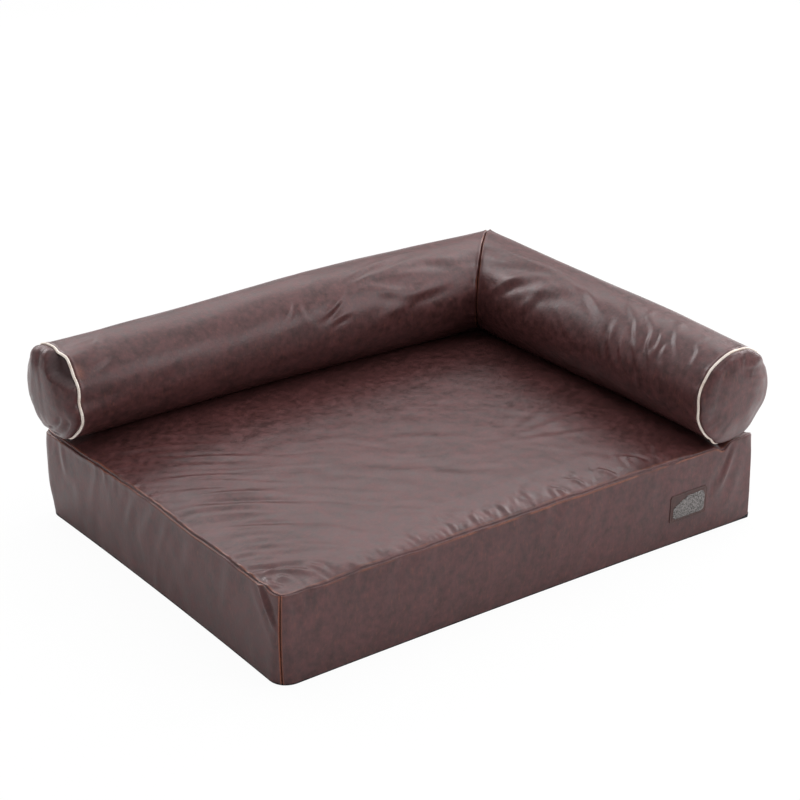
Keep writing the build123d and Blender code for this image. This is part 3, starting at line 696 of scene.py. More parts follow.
def pull_up_leather(name, deep, warm, worn, sheen_rough=0.385):
    """Pull-up faux leather: polyurethane on a knitted back, waxed in two tones. The wax is patchy, so
    the brown runs from deep to warm, folds rub through to orange where wear_and_shade is above 0,
    hollows get painted shade, a dark brown, where it is below, and the gloss is low and uneven."""
    material, tree, output = empty_material(name)
    place = add_node(tree, "TexCoord").outputs["Object"]
    cloudy = add_node(tree, "TexNoise", {"Vector": place, "Scale": 14.0, "Detail": 5.0, "Roughness": 0.62})
    patchy = add_node(tree, "TexNoise", {"Vector": place, "Scale": 75.0, "Detail": 4.0, "Roughness": 0.6})
    fine = add_node(tree, "TexNoise", {"Vector": place, "Scale": 420.0, "Detail": 3.0})
    both = add_node(tree, "Mix", {0: 0.68, 2: cloudy.outputs["Fac"], 3: patchy.outputs["Fac"]})
    tone = stained(tree, both.outputs[0], (0.36, 0.64), deep, warm)
    stretched = {"Vector": place, "Rotation": (0.3, 0.5, 0.2), "Scale": (260.0, 260.0, 90.0)}
    streak_place = add_node(tree, "Mapping", stretched).outputs[0]
    streaks = add_node(tree, "TexNoise", {"Vector": streak_place, "Scale": 1.0, "Detail": 5.0})
    scuff = add_node(tree, "MapRange", {"Value": streaks.outputs["Fac"], 1: 0.55, 2: 0.85, 3: 0.0, 4: 0.22})
    # The wear_and_shade attribute is rubbed wear above 0 and painted shade below 0.
    rubbed = add_node(tree, "Attribute", attribute_name="wear_and_shade").outputs["Fac"]
    grit = add_node(tree, "MapRange", {"Value": fine.outputs["Fac"], 1: 0.3, 2: 0.65, 3: 0.35, 4: 1.0})
    rub = add_node(tree, "Math", {0: rubbed, 1: grit.outputs[0]}, operation="MULTIPLY").outputs[0]
    light = add_node(tree, "Math", {0: rub, 1: scuff.outputs[0]}, operation="MAXIMUM").outputs[0]
    colour = add_node(tree, "Mix", {0: light, 6: tone, 7: tint(worn)}, data_type="RGBA").outputs[2]
    # Painted shade: below 0 the colour is mixed up to 0.85 of the way to dark brown #2b1413, standing in for
    # the shade in the caps' hollows.
    painted_hollow_shade = add_node(tree, "MapRange", {"Value": rubbed, 1: -1.0, 2: 0.0, 3: 0.85, 4: 0.0}).outputs[0]
    hollow_shade_sockets = {0: painted_hollow_shade, 6: colour, 7: tint("#2b1413")}
    colour = add_node(tree, "Mix", hollow_shade_sockets, data_type="RGBA").outputs[2]
    gloss = {"Value": patchy.outputs["Fac"], 1: 0.3, 2: 0.7, 3: sheen_rough - 0.06, 4: sheen_rough + 0.08}
    dull = add_node(tree, "MapRange", gloss).outputs[0]
    pebble = add_node(tree, "TexVoronoi", {"Vector": place, "Scale": 620.0}, feature="SMOOTH_F1")
    grain = {"Strength": 0.22, "Distance": 0.4 * mm, "Height": pebble.outputs["Distance"]}
    grain = add_node(tree, "Bump", grain).outputs[0]
    wrinkle = {"Vector": place, "Scale": 190.0, "Detail": 5.0, "Roughness": 0.65}
    wrinkle = add_node(tree, "TexNoise", wrinkle).outputs["Fac"]
    relief = {"Strength": 0.35, "Distance": 0.8 * mm, "Height": wrinkle, "Normal": grain}
    relief = add_node(tree, "Bump", relief).outputs[0]
    skin = {"Base Color": colour, "Roughness": dull, "Normal": relief, "Specular Tint": tint("#fff1f4")}
    body = add_node(tree, "BsdfPrincipled", skin)
    tree.links.new(body.outputs[0], output.inputs["Surface"])
    return material


brown_leather = pull_up_leather("waxed_brown_faux_leather", "#36201f", "#573333", "#96593f")
slab_cover.data.materials.append(brown_leather)
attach(slab_cover, "base")
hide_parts("seat_panel", "front_border", "left_border", "right_border", "back_border_upper",
            "back_border_lower")


# Stuffing of the base: a slab of open-cell foam, cut square with soft corners, and a sheet of
# polyester wadding laid over its top. Both lie loose inside the cover.
def soft_fill(name, light, dark, cells, rough):
    """Pale foam or fibre: pores or fibres as a fine noise in colour and relief."""
    return textured(name, "TexVoronoi", {"Scale": cells}, dark, light, rough, bump=(0.5, 0.6))


foam_inset, foam_below = 11 * mm, 15 * mm
foam_x = np.linspace(-base_width / 2, base_width / 2, 60)
foam_y = np.linspace(-base_depth / 2, base_depth / 2, 46)
foam_z = np.linspace(cover_foot, seam_height, 9)
foam_axes = {
    "top": (foam_x, foam_y, foam_z[-1:]), "bottom": (foam_x, foam_y, foam_z[:1]),
    "front": (foam_x, foam_y[:1], foam_z), "back": (foam_x, foam_y[-1:], foam_z),
    "left": (foam_x[:1], foam_y, foam_z), "right": (foam_x[-1:], foam_y, foam_z),
}
foam_grids = []
for axes in foam_axes.values():
    lattice = np.squeeze(np.stack(np.meshgrid(*axes, indexing="ij"), -1))
    grid = slab_form(lattice[..., 0], lattice[..., 1], lattice[..., 2])
    grid[..., 0] *= 1 - foam_inset / (base_width / 2)
    grid[..., 1] *= 1 - foam_inset / (base_depth / 2)
    grid[..., 2] = np.where(
        lattice[..., 2] > seam_height - 1e-6,
        grid[..., 2] - foam_below,
        cover_foot + 1 * mm + (grid[..., 2] - cover_foot) * 0.88,
    )
    grid[..., 2] = np.minimum(grid[..., 2], seat_height(grid[..., 0], grid[..., 1]) - foam_below)
    foam_grids.append((grid, None))
foam_slab = pooled_piece("foam_slab", foam_grids, merge=0.5 * mm)
foam_slab.data.materials.append(soft_fill("open_cell_foam", "#e6dcc0", "#c9bd9c", 700.0, 0.9))
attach(foam_slab, "base")
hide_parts("foam_core")

wadding_drop, wadding_thin = 6.5 * mm, 8 * mm
upper = slab_grids[0][6:-6:4, 6:-6:4] - np.array((0, 0, wadding_drop))
lower = slab_grids[0][6:-6:4, 6:-6:4].copy()
on_foam = seat_height(lower[..., 0], lower[..., 1]) - foam_below + 1 * mm
lower[..., 2] = np.minimum(on_foam, lower[..., 2] - wadding_thin)
wadding = stacked_piece("wadding_sheet", upper, lower)
wadding.data.materials.append(soft_fill("polyester_wadding", "#f2f2ee", "#d9dad6", 160.0, 1.0))
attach(wadding, "base")
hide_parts("wadding_layer")


# Sole: black woven polyester with rubber dots, sewn under the cover so that the sofa doesn't slide.
# Its edge shows as a thin dark line above the floor.
sole_x, sole_y = np.meshgrid(np.linspace(-1, 1, 201), np.linspace(-1, 1, 151), indexing="ij")
flat = slab_form(sole_x * base_width / 2, sole_y * base_depth / 2, np.full(sole_x.shape, cover_foot))
upper, lower = flat.copy(), flat.copy()
upper[..., 2] -= 0.3 * mm
lower[..., 2] = 0
lower[..., :2] *= 1 - 0.6 * mm
sole = stacked_piece("dotted_sole", upper, lower)
material, tree, output = empty_material("black_polyester_with_rubber_dots")
place = add_node(tree, "TexCoord").outputs["Object"]
lattice = {"Vector": place, "Scale": 110.0, "Randomness": 0.0}
dots = add_node(tree, "TexVoronoi", lattice, voronoi_dimensions="2D").outputs["Distance"]
dot = add_node(tree, "MapRange", {"Value": dots, 1: 0.22, 2: 0.28, 3: 1.0, 4: 0.0}).outputs[0]
tone = add_node(tree, "Mix", {0: dot, 6: tint("#16151a"), 7: tint("#2b2b2e")}, data_type="RGBA").outputs[2]
raised = add_node(tree, "Bump", {"Strength": 0.6, "Distance": 1 * mm, "Height": dot}).outputs[0]
body = add_node(tree, "BsdfPrincipled", {"Base Color": tone, "Roughness": 0.8, "Normal": raised})
tree.links.new(body.outputs[0], output.inputs["Surface"])
sole.data.materials.append(material)
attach(sole, "base")
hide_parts("anti_slip_sole")


# Label on the front border: a leather patch sewn on with a plain metal plate riveted to it. The
# plate is left bare, hammered and antiqued.
label_middle = np.array((342.5 * mm, 71.5 * mm))
patch_size, patch_corner, patch_thickness = (85 * mm, 53 * mm), 6 * mm, 1.6 * mm
plate_size, plate_thickness = (72 * mm, 40 * mm), 1.4 * mm


def border_face(x, z):
    """Points on the front border's form at places across and up."""
    return slab_form(x, np.full(np.shape(x), -base_depth / 2), z)


def rim_spaced(count_u, count_v):
    """A grid from -1 to 1 both ways whose lines stand closer together near its rim."""
    lines = [np.sin(np.linspace(-1, 1, count) * math.pi / 2) for count in (count_u, count_v)]
    return np.meshgrid(*lines, indexing="ij")


def rounded_tile(size, corner, base, thickness, edge, count):
    """A tile on the border with round corners and a round edge: a grid pulled in at its corners,
    standing out by a quarter circle of the way in from its edge. Also says how far in each point is."""
    u, v = rim_spaced(count, count)
    x, z = u * size[0] / 2, v * size[1] / 2
    past_x = np.maximum(np.abs(x) - size[0] / 2 + corner, 0) / corner
    past_z = np.maximum(np.abs(z) - size[1] / 2 + corner, 0) / corner
    pull = np.maximum(past_x, past_z) / np.maximum(np.hypot(past_x, past_z), 1e-9)
    both = (past_x > 0) & (past_z > 0)
    x = np.where(both, np.sign(x) * (size[0] / 2 - corner + corner * past_x * pull), x)
    z = np.where(both, np.sign(z) * (size[1] / 2 - corner + corner * past_z * pull), z)
    straight = np.minimum(size[0] / 2 - np.abs(x), size[1] / 2 - np.abs(z))
    bowed = corner * (1 - np.hypot(past_x * np.where(both, pull, 0), past_z * np.where(both, pull, 0)))
    inward = np.where(both, bowed, straight)
    stand = thickness * np.sqrt(1 - (1 - np.clip(inward / edge, 0, 1)) ** 2)
    front = border_face(x + label_middle[0], z + label_middle[1])
    back = front.copy()
    front[..., 1] -= base + stand
    back[..., 1] -= base
    return front, back, inward


def tile_piece(name, front, back):
    """A closed piece from a front and a back grid that share their rim."""
    numbers = numbered(front)
    points = np.vstack([front.reshape(-1, 3), back.reshape(-1, 3)])
    faces = np.vstack([quads(numbers), quads((numbers + numbers.size)[::-1])])
    return new_piece(name, points, faces, merge=0.004 * mm)


sunk = 0.3 * mm
front, back, inward = rounded_tile(patch_size, patch_corner, -sunk, patch_thickness + sunk, 1.2 * mm, 90)
front[..., 1] += 0.5 * mm * bell(inward, 3.2 * mm, 1.0 * mm)
patch = tile_piece("label_patch_leather", front, back)
patch_leather = pull_up_leather("matt_brown_faux_leather", "#33201d", "#4a302c", "#7a4a36", 0.5)
patch.data.materials.append(patch_leather)
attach(patch, "base")
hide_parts("label_patch")

u, v = rim_spaced(150, 110)
x = u * plate_size[0] / 2
upper_edge = np.interp(x, np.array((-36, -31, -27, -19, -15, -9, -6, 29, 33, 36)) * mm,
                       np.array((2, 6, 7, 12, 14, 15, 19, 20, 17, 12)) * mm)
lower_edge = np.interp(x, np.array((-36, -31, 31, 36)) * mm, np.array((15, 20, 20, 16)) * mm)
z = v * np.where(v > 0, upper_edge, lower_edge)
inward = np.minimum(plate_size[0] / 2 - np.abs(x), np.where(v > 0, upper_edge, lower_edge) - np.abs(z))
stand = plate_thickness * 0.7 * np.sqrt(1 - (1 - np.clip(inward / (1.0 * mm), 0, 1)) ** 2)
rim_ridge = 0.4 * mm * bell(inward, 1.9 * mm, 0.7 * mm)
hammered = 0.05 * mm * noise(np.stack([x, z], -1) / (4.5 * mm), 91) * ramp(inward, 2.5 * mm, mm)
back = border_face(x + label_middle[0], z + label_middle[1])
back[..., 1] -= patch_thickness - 0.05 * mm
front = back.copy()
front[..., 1] -= stand + rim_ridge + hammered
front[[0, -1]], front[:, [0, -1]] = back[[0, -1]], back[:, [0, -1]]
plate = tile_piece("label_plate_metal", front, back)
plate.data.materials.append(textured(
    "antiqued_hammered_zinc", "TexNoise", {"Scale": 380.0, "Detail": 4.0}, "#4a4746", "#858180",
    rough=(0.46, 0.36), stops=(0.34, 0.64), skin={"Metallic": 1.0},
))
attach(plate, "base")
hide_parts("label_plate")


# Hook-and-loop strips: black nylon tapes sewn to the seat and to the underside of each roll. The
# seat has the soft loops and the rolls the stiff hooks.
strip_width, strip_thickness, roll_gap = 30 * mm, 1.5 * mm, 0.3 * mm
strips = {
    "back": ((-250 * mm, back_axis_y - strip_width / 2), (330 * mm, back_axis_y + strip_width / 2)),
    "arm": ((arm_axis_x - strip_width / 2, -200 * mm), (arm_axis_x + strip_width / 2, 180.25 * mm)),
}
strip_bases = {"loop": ("base", 0.0), "hook": ("bolster", strip_thickness + roll_gap)}
pile_scales = {"loop": 900.0, "hook": 650.0}
for kind, (body_name, lift) in strip_bases.items():
    material = textured(
        "black_nylon_" + kind + "s", "TexVoronoi", {"Scale": pile_scales[kind]}, "#2a2322", "#0c0a0a", 0.85,
        bump=(0.9, 0.8), skin={"Sheen Weight": 0.3},
    )
    for name, (low, high) in strips.items():
        x, y = np.meshgrid(np.linspace(low[0], high[0], 121 if name == "back" else 13),
                           np.linspace(low[1], high[1], 13 if name == "back" else 121), indexing="ij")
        inward = np.minimum(np.minimum(x - low[0], high[0] - x), np.minimum(y - low[1], high[1] - y))
        swell = np.sqrt(1 - (1 - np.clip(inward / (2 * mm), 0, 1)) ** 2) * strip_thickness / 2
        bottom = np.stack([x, y, seat_height(x, y) + lift + strip_thickness / 2 - swell], -1)
        top = np.stack([x, y, seat_height(x, y) + lift + strip_thickness / 2 + swell], -1)
        piece = tile_piece(name + "_" + kind + "_strip_nylon", top, bottom)
        piece.data.materials.append(material)
        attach(piece, body_name)
        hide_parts(name + "_" + kind + "_strip")


# Zips: woven tapes with a row of nylon loops along each, a zinc slider and stops. One closes the
# back of the cover, the other the underside of the back roll.
tape_width, tape_thickness, tape_tail = 12 * mm, 0.6 * mm, 12 * mm
tape_top = -1.5 * mm
coil_width, coil_height, coil_pitch = 2.9 * mm, 2.4 * mm, 1.5 * mm
zip_tilt = math.radians(35)
bolster_zip_x, zip_reach = 240 * mm, 80 * mm
bolster_zip_y = back_axis_y + zip_reach * math.cos(zip_tilt)
bolster_zip_z = 253 * mm - zip_reach * math.sin(zip_tilt)
zip_normal = np.array((0, math.cos(zip_tilt), -math.sin(zip_tilt)))
zips = {
    "base": (base_zip_length, np.array((base_zip_length / 2, base_depth / 2, base_zip_height)), 0.0, "base"),
    "bolster": (
        bolster_zip_length, np.array((bolster_zip_x, bolster_zip_y, bolster_zip_z)), zip_tilt, "bolster",
    ),
}


def zip_to_sofa(points, origin, lean):
    """Carries points from a flat zip, drawn closed end on the right, to its place on the sofa."""
    axes = np.array(((-1, 0, 0), (0, math.sin(lean), math.cos(lean)), (0, math.cos(lean), -math.sin(lean))))
    return origin + points @ axes


tape_material = textured(
    "dark_brown_woven_polyester_tape", "TexWave", {"Scale": 520.0, "Distortion": 0.4}, "#1f1513", "#3a2824",
    0.8, bump=(0.5, 0.3), bands_direction="X",
)
coil_material = textured("dark_nylon_coil", "TexNoise", {"Scale": 800.0}, "#1a1211", "#33231f", 0.38)
zinc = textured(
    "dark_lacquered_zinc", "TexNoise", {"Scale": 500.0, "Detail": 4.0}, "#3c332f", "#7d716a", 0.36,
    stops=(0.4, 0.72), skin={"Metallic": 1.0},
)
tape_middle = tape_top - tape_thickness / 2
for name, (length, origin, lean, body_name) in zips.items():
    for label, side in (("upper", 1), ("lower", -1)):
        run = np.linspace(-tape_tail, length + slider_length + tape_tail, 160)
        x, y = np.meshgrid(run, np.linspace(0, 1, 9), indexing="ij")
        edge = np.sqrt(1 - (1 - np.clip(np.minimum(y, 1 - y) * 6, 0, 1)) ** 2) * tape_thickness / 2
        edge[[0, -1]] = 0
        across = side * (coil_width + y * tape_width)
        upper = zip_to_sofa(np.stack([x, across, tape_middle + edge], -1), origin, lean)
        lower = zip_to_sofa(np.stack([x, across, tape_middle - edge], -1), origin, lean)
        tape = tile_piece(name + "_zip_tape_" + label + "_woven", upper, lower)
        tape.data.materials.append(tape_material)
        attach(tape, body_name)
        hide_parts(name + "_zip_tape_" + label)
    turn, rise = np.meshgrid(np.arange(8) * math.pi / 4, np.linspace(-1, 1, 5), indexing="ij")
    girth = np.sqrt(1 - (0.97 * rise) ** 4)
    loop_x, loop_z = 0.5 * mm * girth * np.cos(turn), coil_height / 2 * girth * np.sin(turn)
    loop = np.stack([loop_x, rise * coil_width * 0.53, loop_z], -1).reshape(-1, 3)
    ring = np.arange(40).reshape(8, 5)
    loop_faces = quads(np.vstack([ring, ring[:1]]))
    middles = []
    for side, shift in ((1, 0.25), (-1, 0.75)):
        x = (np.arange(int(length / coil_pitch)) + shift) * coil_pitch
        y, z = np.full(len(x), side * coil_width * 0.49), np.full(len(x), tape_middle)
        middles.append(np.stack([x, y, z], -1))
    middles = np.vstack(middles)
    points = zip_to_sofa(middles[:, None] + loop, origin, lean).reshape(-1, 3)
    faces = (loop_faces + np.arange(len(middles))[:, None, None] * len(loop)).reshape(-1, 4)
    coils = new_piece(name + "_zip_coil_loops", points, faces, merge=0.001 * mm)
    coils.data.materials.append(coil_material)
    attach(coils, body_name)
    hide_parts(name + "_zip_coils")
    for part in ("stops", "slider", "puller"):
        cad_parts[name + "_zip_" + part].data.materials.clear()
        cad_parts[name + "_zip_" + part].data.materials.append(zinc)


# Bolster: two tubes of the same leather stuffed with fibre, mitred and sewn together at the back
# right corner, each closed at its free end by a round cap. They lie pressed flat on the seat.
ring_height, ring_radius = 253 * mm, 84.5 * mm
facet_reach, facet_ramp, facet_rise = 80 * mm, 60 * mm, 12 * mm
facet_start, facet_end = -27 * mm, 600 * mm
around_count = 64
corner_axis = np.array((arm_axis_x, back_axis_y, 257 * mm))
back_roll_run = base_width / 2 + arm_axis_x
arm_roll_run = base_depth / 2 + back_axis_y
rolls = {
    "back": {
        "start": np.array((-base_width / 2, back_axis_y, ring_height)),
        "along": np.array((1.0, 0, 0)), "across": np.array((0, 1.0, 0)),
        "run": back_roll_run, "bulge": 36 * mm,
        "kink_turns": (11, 24, 36, 90, 145, 156, 169, 198, 228, 248, 263, 276, 290, 309, 324, 330, 351),
        "kinks": (-2, 2.5, 4.5, 1, 4, 2, -3, -1.5, 1.5, 4.5, 5, -2, 0, -2.5, 3, 5.5, -4),
        "places": (0, 60, 170, 325, 483, 700, 797, 937), "radii": (84.5, 85.5, 86, 87, 90.4, 92, 92, 91),
        "lifts": (-1, 0, 2, 5, 9, 8, 6, 4),
    },
    "arm": {
        "start": np.array((arm_axis_x, -base_depth / 2, ring_height)),
        "along": np.array((0, 1.0, 0)), "across": np.array((1.0, 0, 0)),
        "run": arm_roll_run, "bulge": 21 * mm,
        "kink_turns": (5, 18, 60, 95, 120, 150, 190, 205, 213, 228, 241, 262, 279, 300, 316, 329, 346),
        "kinks": (0, 3, 0, 2, 0, 1, 2, 5, 0, 0.5, -1, -2, 1, -1, 1.5, 0.5, 2),
        "places": (0, 60, 200, 344, 548, 688), "radii": (84.5, 86.5, 88.5, 89.5, 90.5, 91),
        "lifts": (0, 2, 5, 5, 4, 4),
    },
}
for roll in rolls.values():
    for key in ("places", "radii", "lifts"):
        roll[key] = np.array(roll[key]) * mm
girth_radius = 90


def roll_form(roll, turns, share):
    """Form of a roll: turns go round it from the top, share runs from the cap's middle (-1) over the
    end ring (0) to the mitre (1). The radius and the axis follow the roll's own profile."""
    start, along, across = roll["start"], roll["along"], roll["across"]
    radii, lifts = roll["radii"], roll["lifts"]
    sine, cosine = np.sin(turns), np.cos(turns)
    on_cap = share < 0
    far = np.clip(share, 0, 1) * (roll["run"] + radii[-1] * sine)
    knots = np.append(roll["places"], roll["places"][-1] + 100 * mm)
    even = np.clip(far, 0, knots[-1])
    table = spline_matrix(knots, np.ravel(even))
    radius = (table @ np.append(radii, radii[-1])).reshape(np.shape(even))
    lift = (table @ np.append(lifts, lifts[-1])).reshape(np.shape(even))
    kinked = np.interp(np.degrees(turns), roll["kink_turns"], roll["kinks"], period=360) * mm
    kinked_ring = ring_radius + kinked
    radius = radius + kinked * np.exp(-far / (40 * mm))
    inward = -np.minimum(share, 0) * ring_radius
    overhang = 4.5 * mm * (inward / (4 * mm)) * np.exp(1 - inward / (4 * mm))
    reach = np.where(on_cap, (1 + share) * kinked_ring + overhang, radius)
    out = np.where(on_cap, roll["bulge"] * (1 - np.clip(1 + share, 0, 1) ** 4) ** 0.6, 0)
    out *= 1 - 0.3 * ((1 - cosine) / 2) ** 2 * np.clip(1 + share, 0, 1) ** 2
    set_back = 8 * mm * np.clip(np.sin(turns - 0.5), 0, 1) ** 0.6
    set_back += mm * (1.2 * np.sin(6 * turns + 1) + 0.8 * np.sin(9 * turns))
    far = far + set_back * np.exp(-far / (40 * mm)) * np.clip(1 - inward / (50 * mm), 0, 1)
    lift = np.where(on_cap, lifts[0], lift)
    point = start + along * (far - out)[..., None] + across * (reach * sine)[..., None]
    point[..., 2] += reach * cosine + lift
    floor_height = seat_height(
        np.clip(point[..., 0], -base_width / 2, base_width / 2),
        np.clip(point[..., 1], -base_depth / 2, base_depth / 2),
    )
    inside = np.abs(point[..., 0]) < base_width / 2 + 5 * mm
    inside &= np.abs(point[..., 1]) < base_depth / 2 + 5 * mm
    resting = np.maximum(point[..., 2], floor_height + roll_gap)
    point[..., 2] = np.where(inside, resting, point[..., 2])
    if across[1]:
        run_along = bolster_zip_x - point[..., 0]
        beyond_facet = np.maximum(facet_start - run_along, run_along - facet_end)
        limit = facet_reach + facet_rise * np.clip(beyond_facet / facet_ramp, 0, 1)
        limit = limit + np.where(beyond_facet > facet_ramp, 1, 0)
        beyond = np.maximum((point - start) @ zip_normal - limit, 0)
        point = point - beyond[..., None] * zip_normal
    return point, floor_height


def outward(points, roll):
    """Unit direction from a roll's axis out to each point."""
    axis = roll["start"] + roll["along"] * ((points - roll["start"]) @ roll["along"])[..., None]
    out = points - axis
    return out / np.linalg.norm(out, axis=-1, keepdims=True)


def strip_pocket(points, name):
    """Height by which a roll's underside is hollowed over its hook strip, with soft edges."""
    low, high = strips[name]
    beside = np.maximum(
        np.maximum(low[0] - points[..., 0], points[..., 0] - high[0]),
        np.maximum(low[1] - points[..., 1], points[..., 1] - high[1]),
    )
    return 3.1 * mm * np.clip(1.5 - beside / (2 * mm), 0, 1)


# Folds of the rolls. Places run round from the top and along from the end ring, in millimetres: a
# fan from the mitre, crescents half way along, and a few near the ends.
roll_spots = {
    "back": [
        (494, 470, 14, 5, 30, 1.1, 0.5), (478, 500, 18, 6, -30, 0.9, -0.3), (476, 570, 24, 6, 62, 2.2, 0.4),
        (458, 590, 22, 6, 78, 2.0, -0.3), (536, 636, 30, 6, 72, 1.8, 0.3), (518, 655, 34, 6, 82, 2.0, -0.2),
        (548, 690, 34, 9, 75, 2.0, 0.2), (528, 720, 60, 10, 82, 2.0, -0.2),
        (505, 760, 70, 11, 96, 2.2, 0.2), (485, 700, 50, 9, 105, 1.8, 0.2), (470, 800, 60, 10, 88, 1.8, 0.3),
        (520, 840, 40, 9, 98, 2.2, 0.2), (538, 70, 26, 6, 40, 1.4, 0.3), (500, 60, 30, 8, 70, 1.2, 0.2),
        (455, 190, 70, 12, 84, 0.9, 0.2), (520, 250, 90, 14, 92, 0.9, 0.2),
    ],
    "arm": [
        (486, 160, 24, 7, 22, 2.2, 0.5), (503, 139, 18, 6, 14, 2.0, -0.4), (520, 108, 24, 8, 36, 2.2, 0.5),
        (478, 146, 15, 7, 2, 1.6, 0.3), (463, 262, 28, 9, 12, 2.2, 0.5), (450, 224, 22, 6, 24, 1.6, 0.4),
        (500, 206, 24, 6, 34, 1.4, 0.4), (527, 178, 30, 8, 44, 1.6, -0.3), (538, 240, 38, 10, 52, 1.5, 0.3),
        (548, 128, 26, 10, 24, 2.0, 0.3), (531, 58, 22, 8, 30, 1.6, 0.3), (508, 46, 16, 7, 4, 1.3, 0.3),
        (470, 190, 18, 7, 40, 1.6, -0.5), (494, 120, 16, 7, -8, 1.4, 0.3),
        (455, 110, 28, 10, 10, 1.2, 0.2), (540, 200, 20, 8, 20, 1.7, 0.5), (440, 170, 30, 8, 0, 1.2, 0.4),
        (500, 560, 60, 9, 108, 3.0, 0.3), (525, 590, 70, 9, 100, 3.2, 0.25), (545, 560, 80, 10, 95, 2.8, 0.2),
        (478, 600, 46, 8, 120, 2.8, 0.3), (505, 470, 60, 12, 104, 2.6, 0.2), (535, 400, 70, 13, 80, 2.4, 0.3),
        (465, 520, 40, 9, 130, 1.8, 0.3), (515, 330, 50, 11, 60, 1.6, 0.3),
    ],
}


def cap_folds(name, aside, up, inward):
    """Relief of an end cap. The back roll's is pushed in along two straight folds under its upper
    front kink, and has upright folds on the far side and crescents along its foot. The arm roll's
    has puckers at its upper right."""
    if name == "back":
        past_upright = 0.65 * (up - 77 * mm) - 0.76 * (aside + 3 * mm)
        past_level = 0.965 * (up - 43 * mm) - 0.26 * (aside + 32 * mm)
        hollow = np.clip(past_upright / (5 * mm), 0, 1) * np.clip(past_level / (9 * mm), 0, 1)
        hollow *= np.clip(inward / (5 * mm), 0, 1)
        near_foot = np.clip((-18 * mm - up) / (14 * mm), 0, 1) * np.clip((10 * mm - aside) / (20 * mm), 0, 1)
        crescents = bell(inward, 14 * mm, 2.6 * mm) + 0.8 * bell(inward, 27 * mm, 3.2 * mm)
        upright = folds(aside, up, 120 * mm, 13 * mm, 86, 402) * ramp(aside, -22 * mm, 20 * mm)
        return -22 * mm * hollow - 5.5 * mm * near_foot * crescents + 0.5 * mm * upright
    upper_right = np.exp(-np.hypot(aside - 48 * mm, up - 48 * mm) ** 2 / (34 * mm) ** 2)
    puckers = folds(aside + up, aside - up, 60 * mm, 13 * mm, 62, 403)
    return 3.2 * mm * upper_right * puckers + 0.9 * mm * folds(aside, up, 110 * mm, 26 * mm, 70, 404)


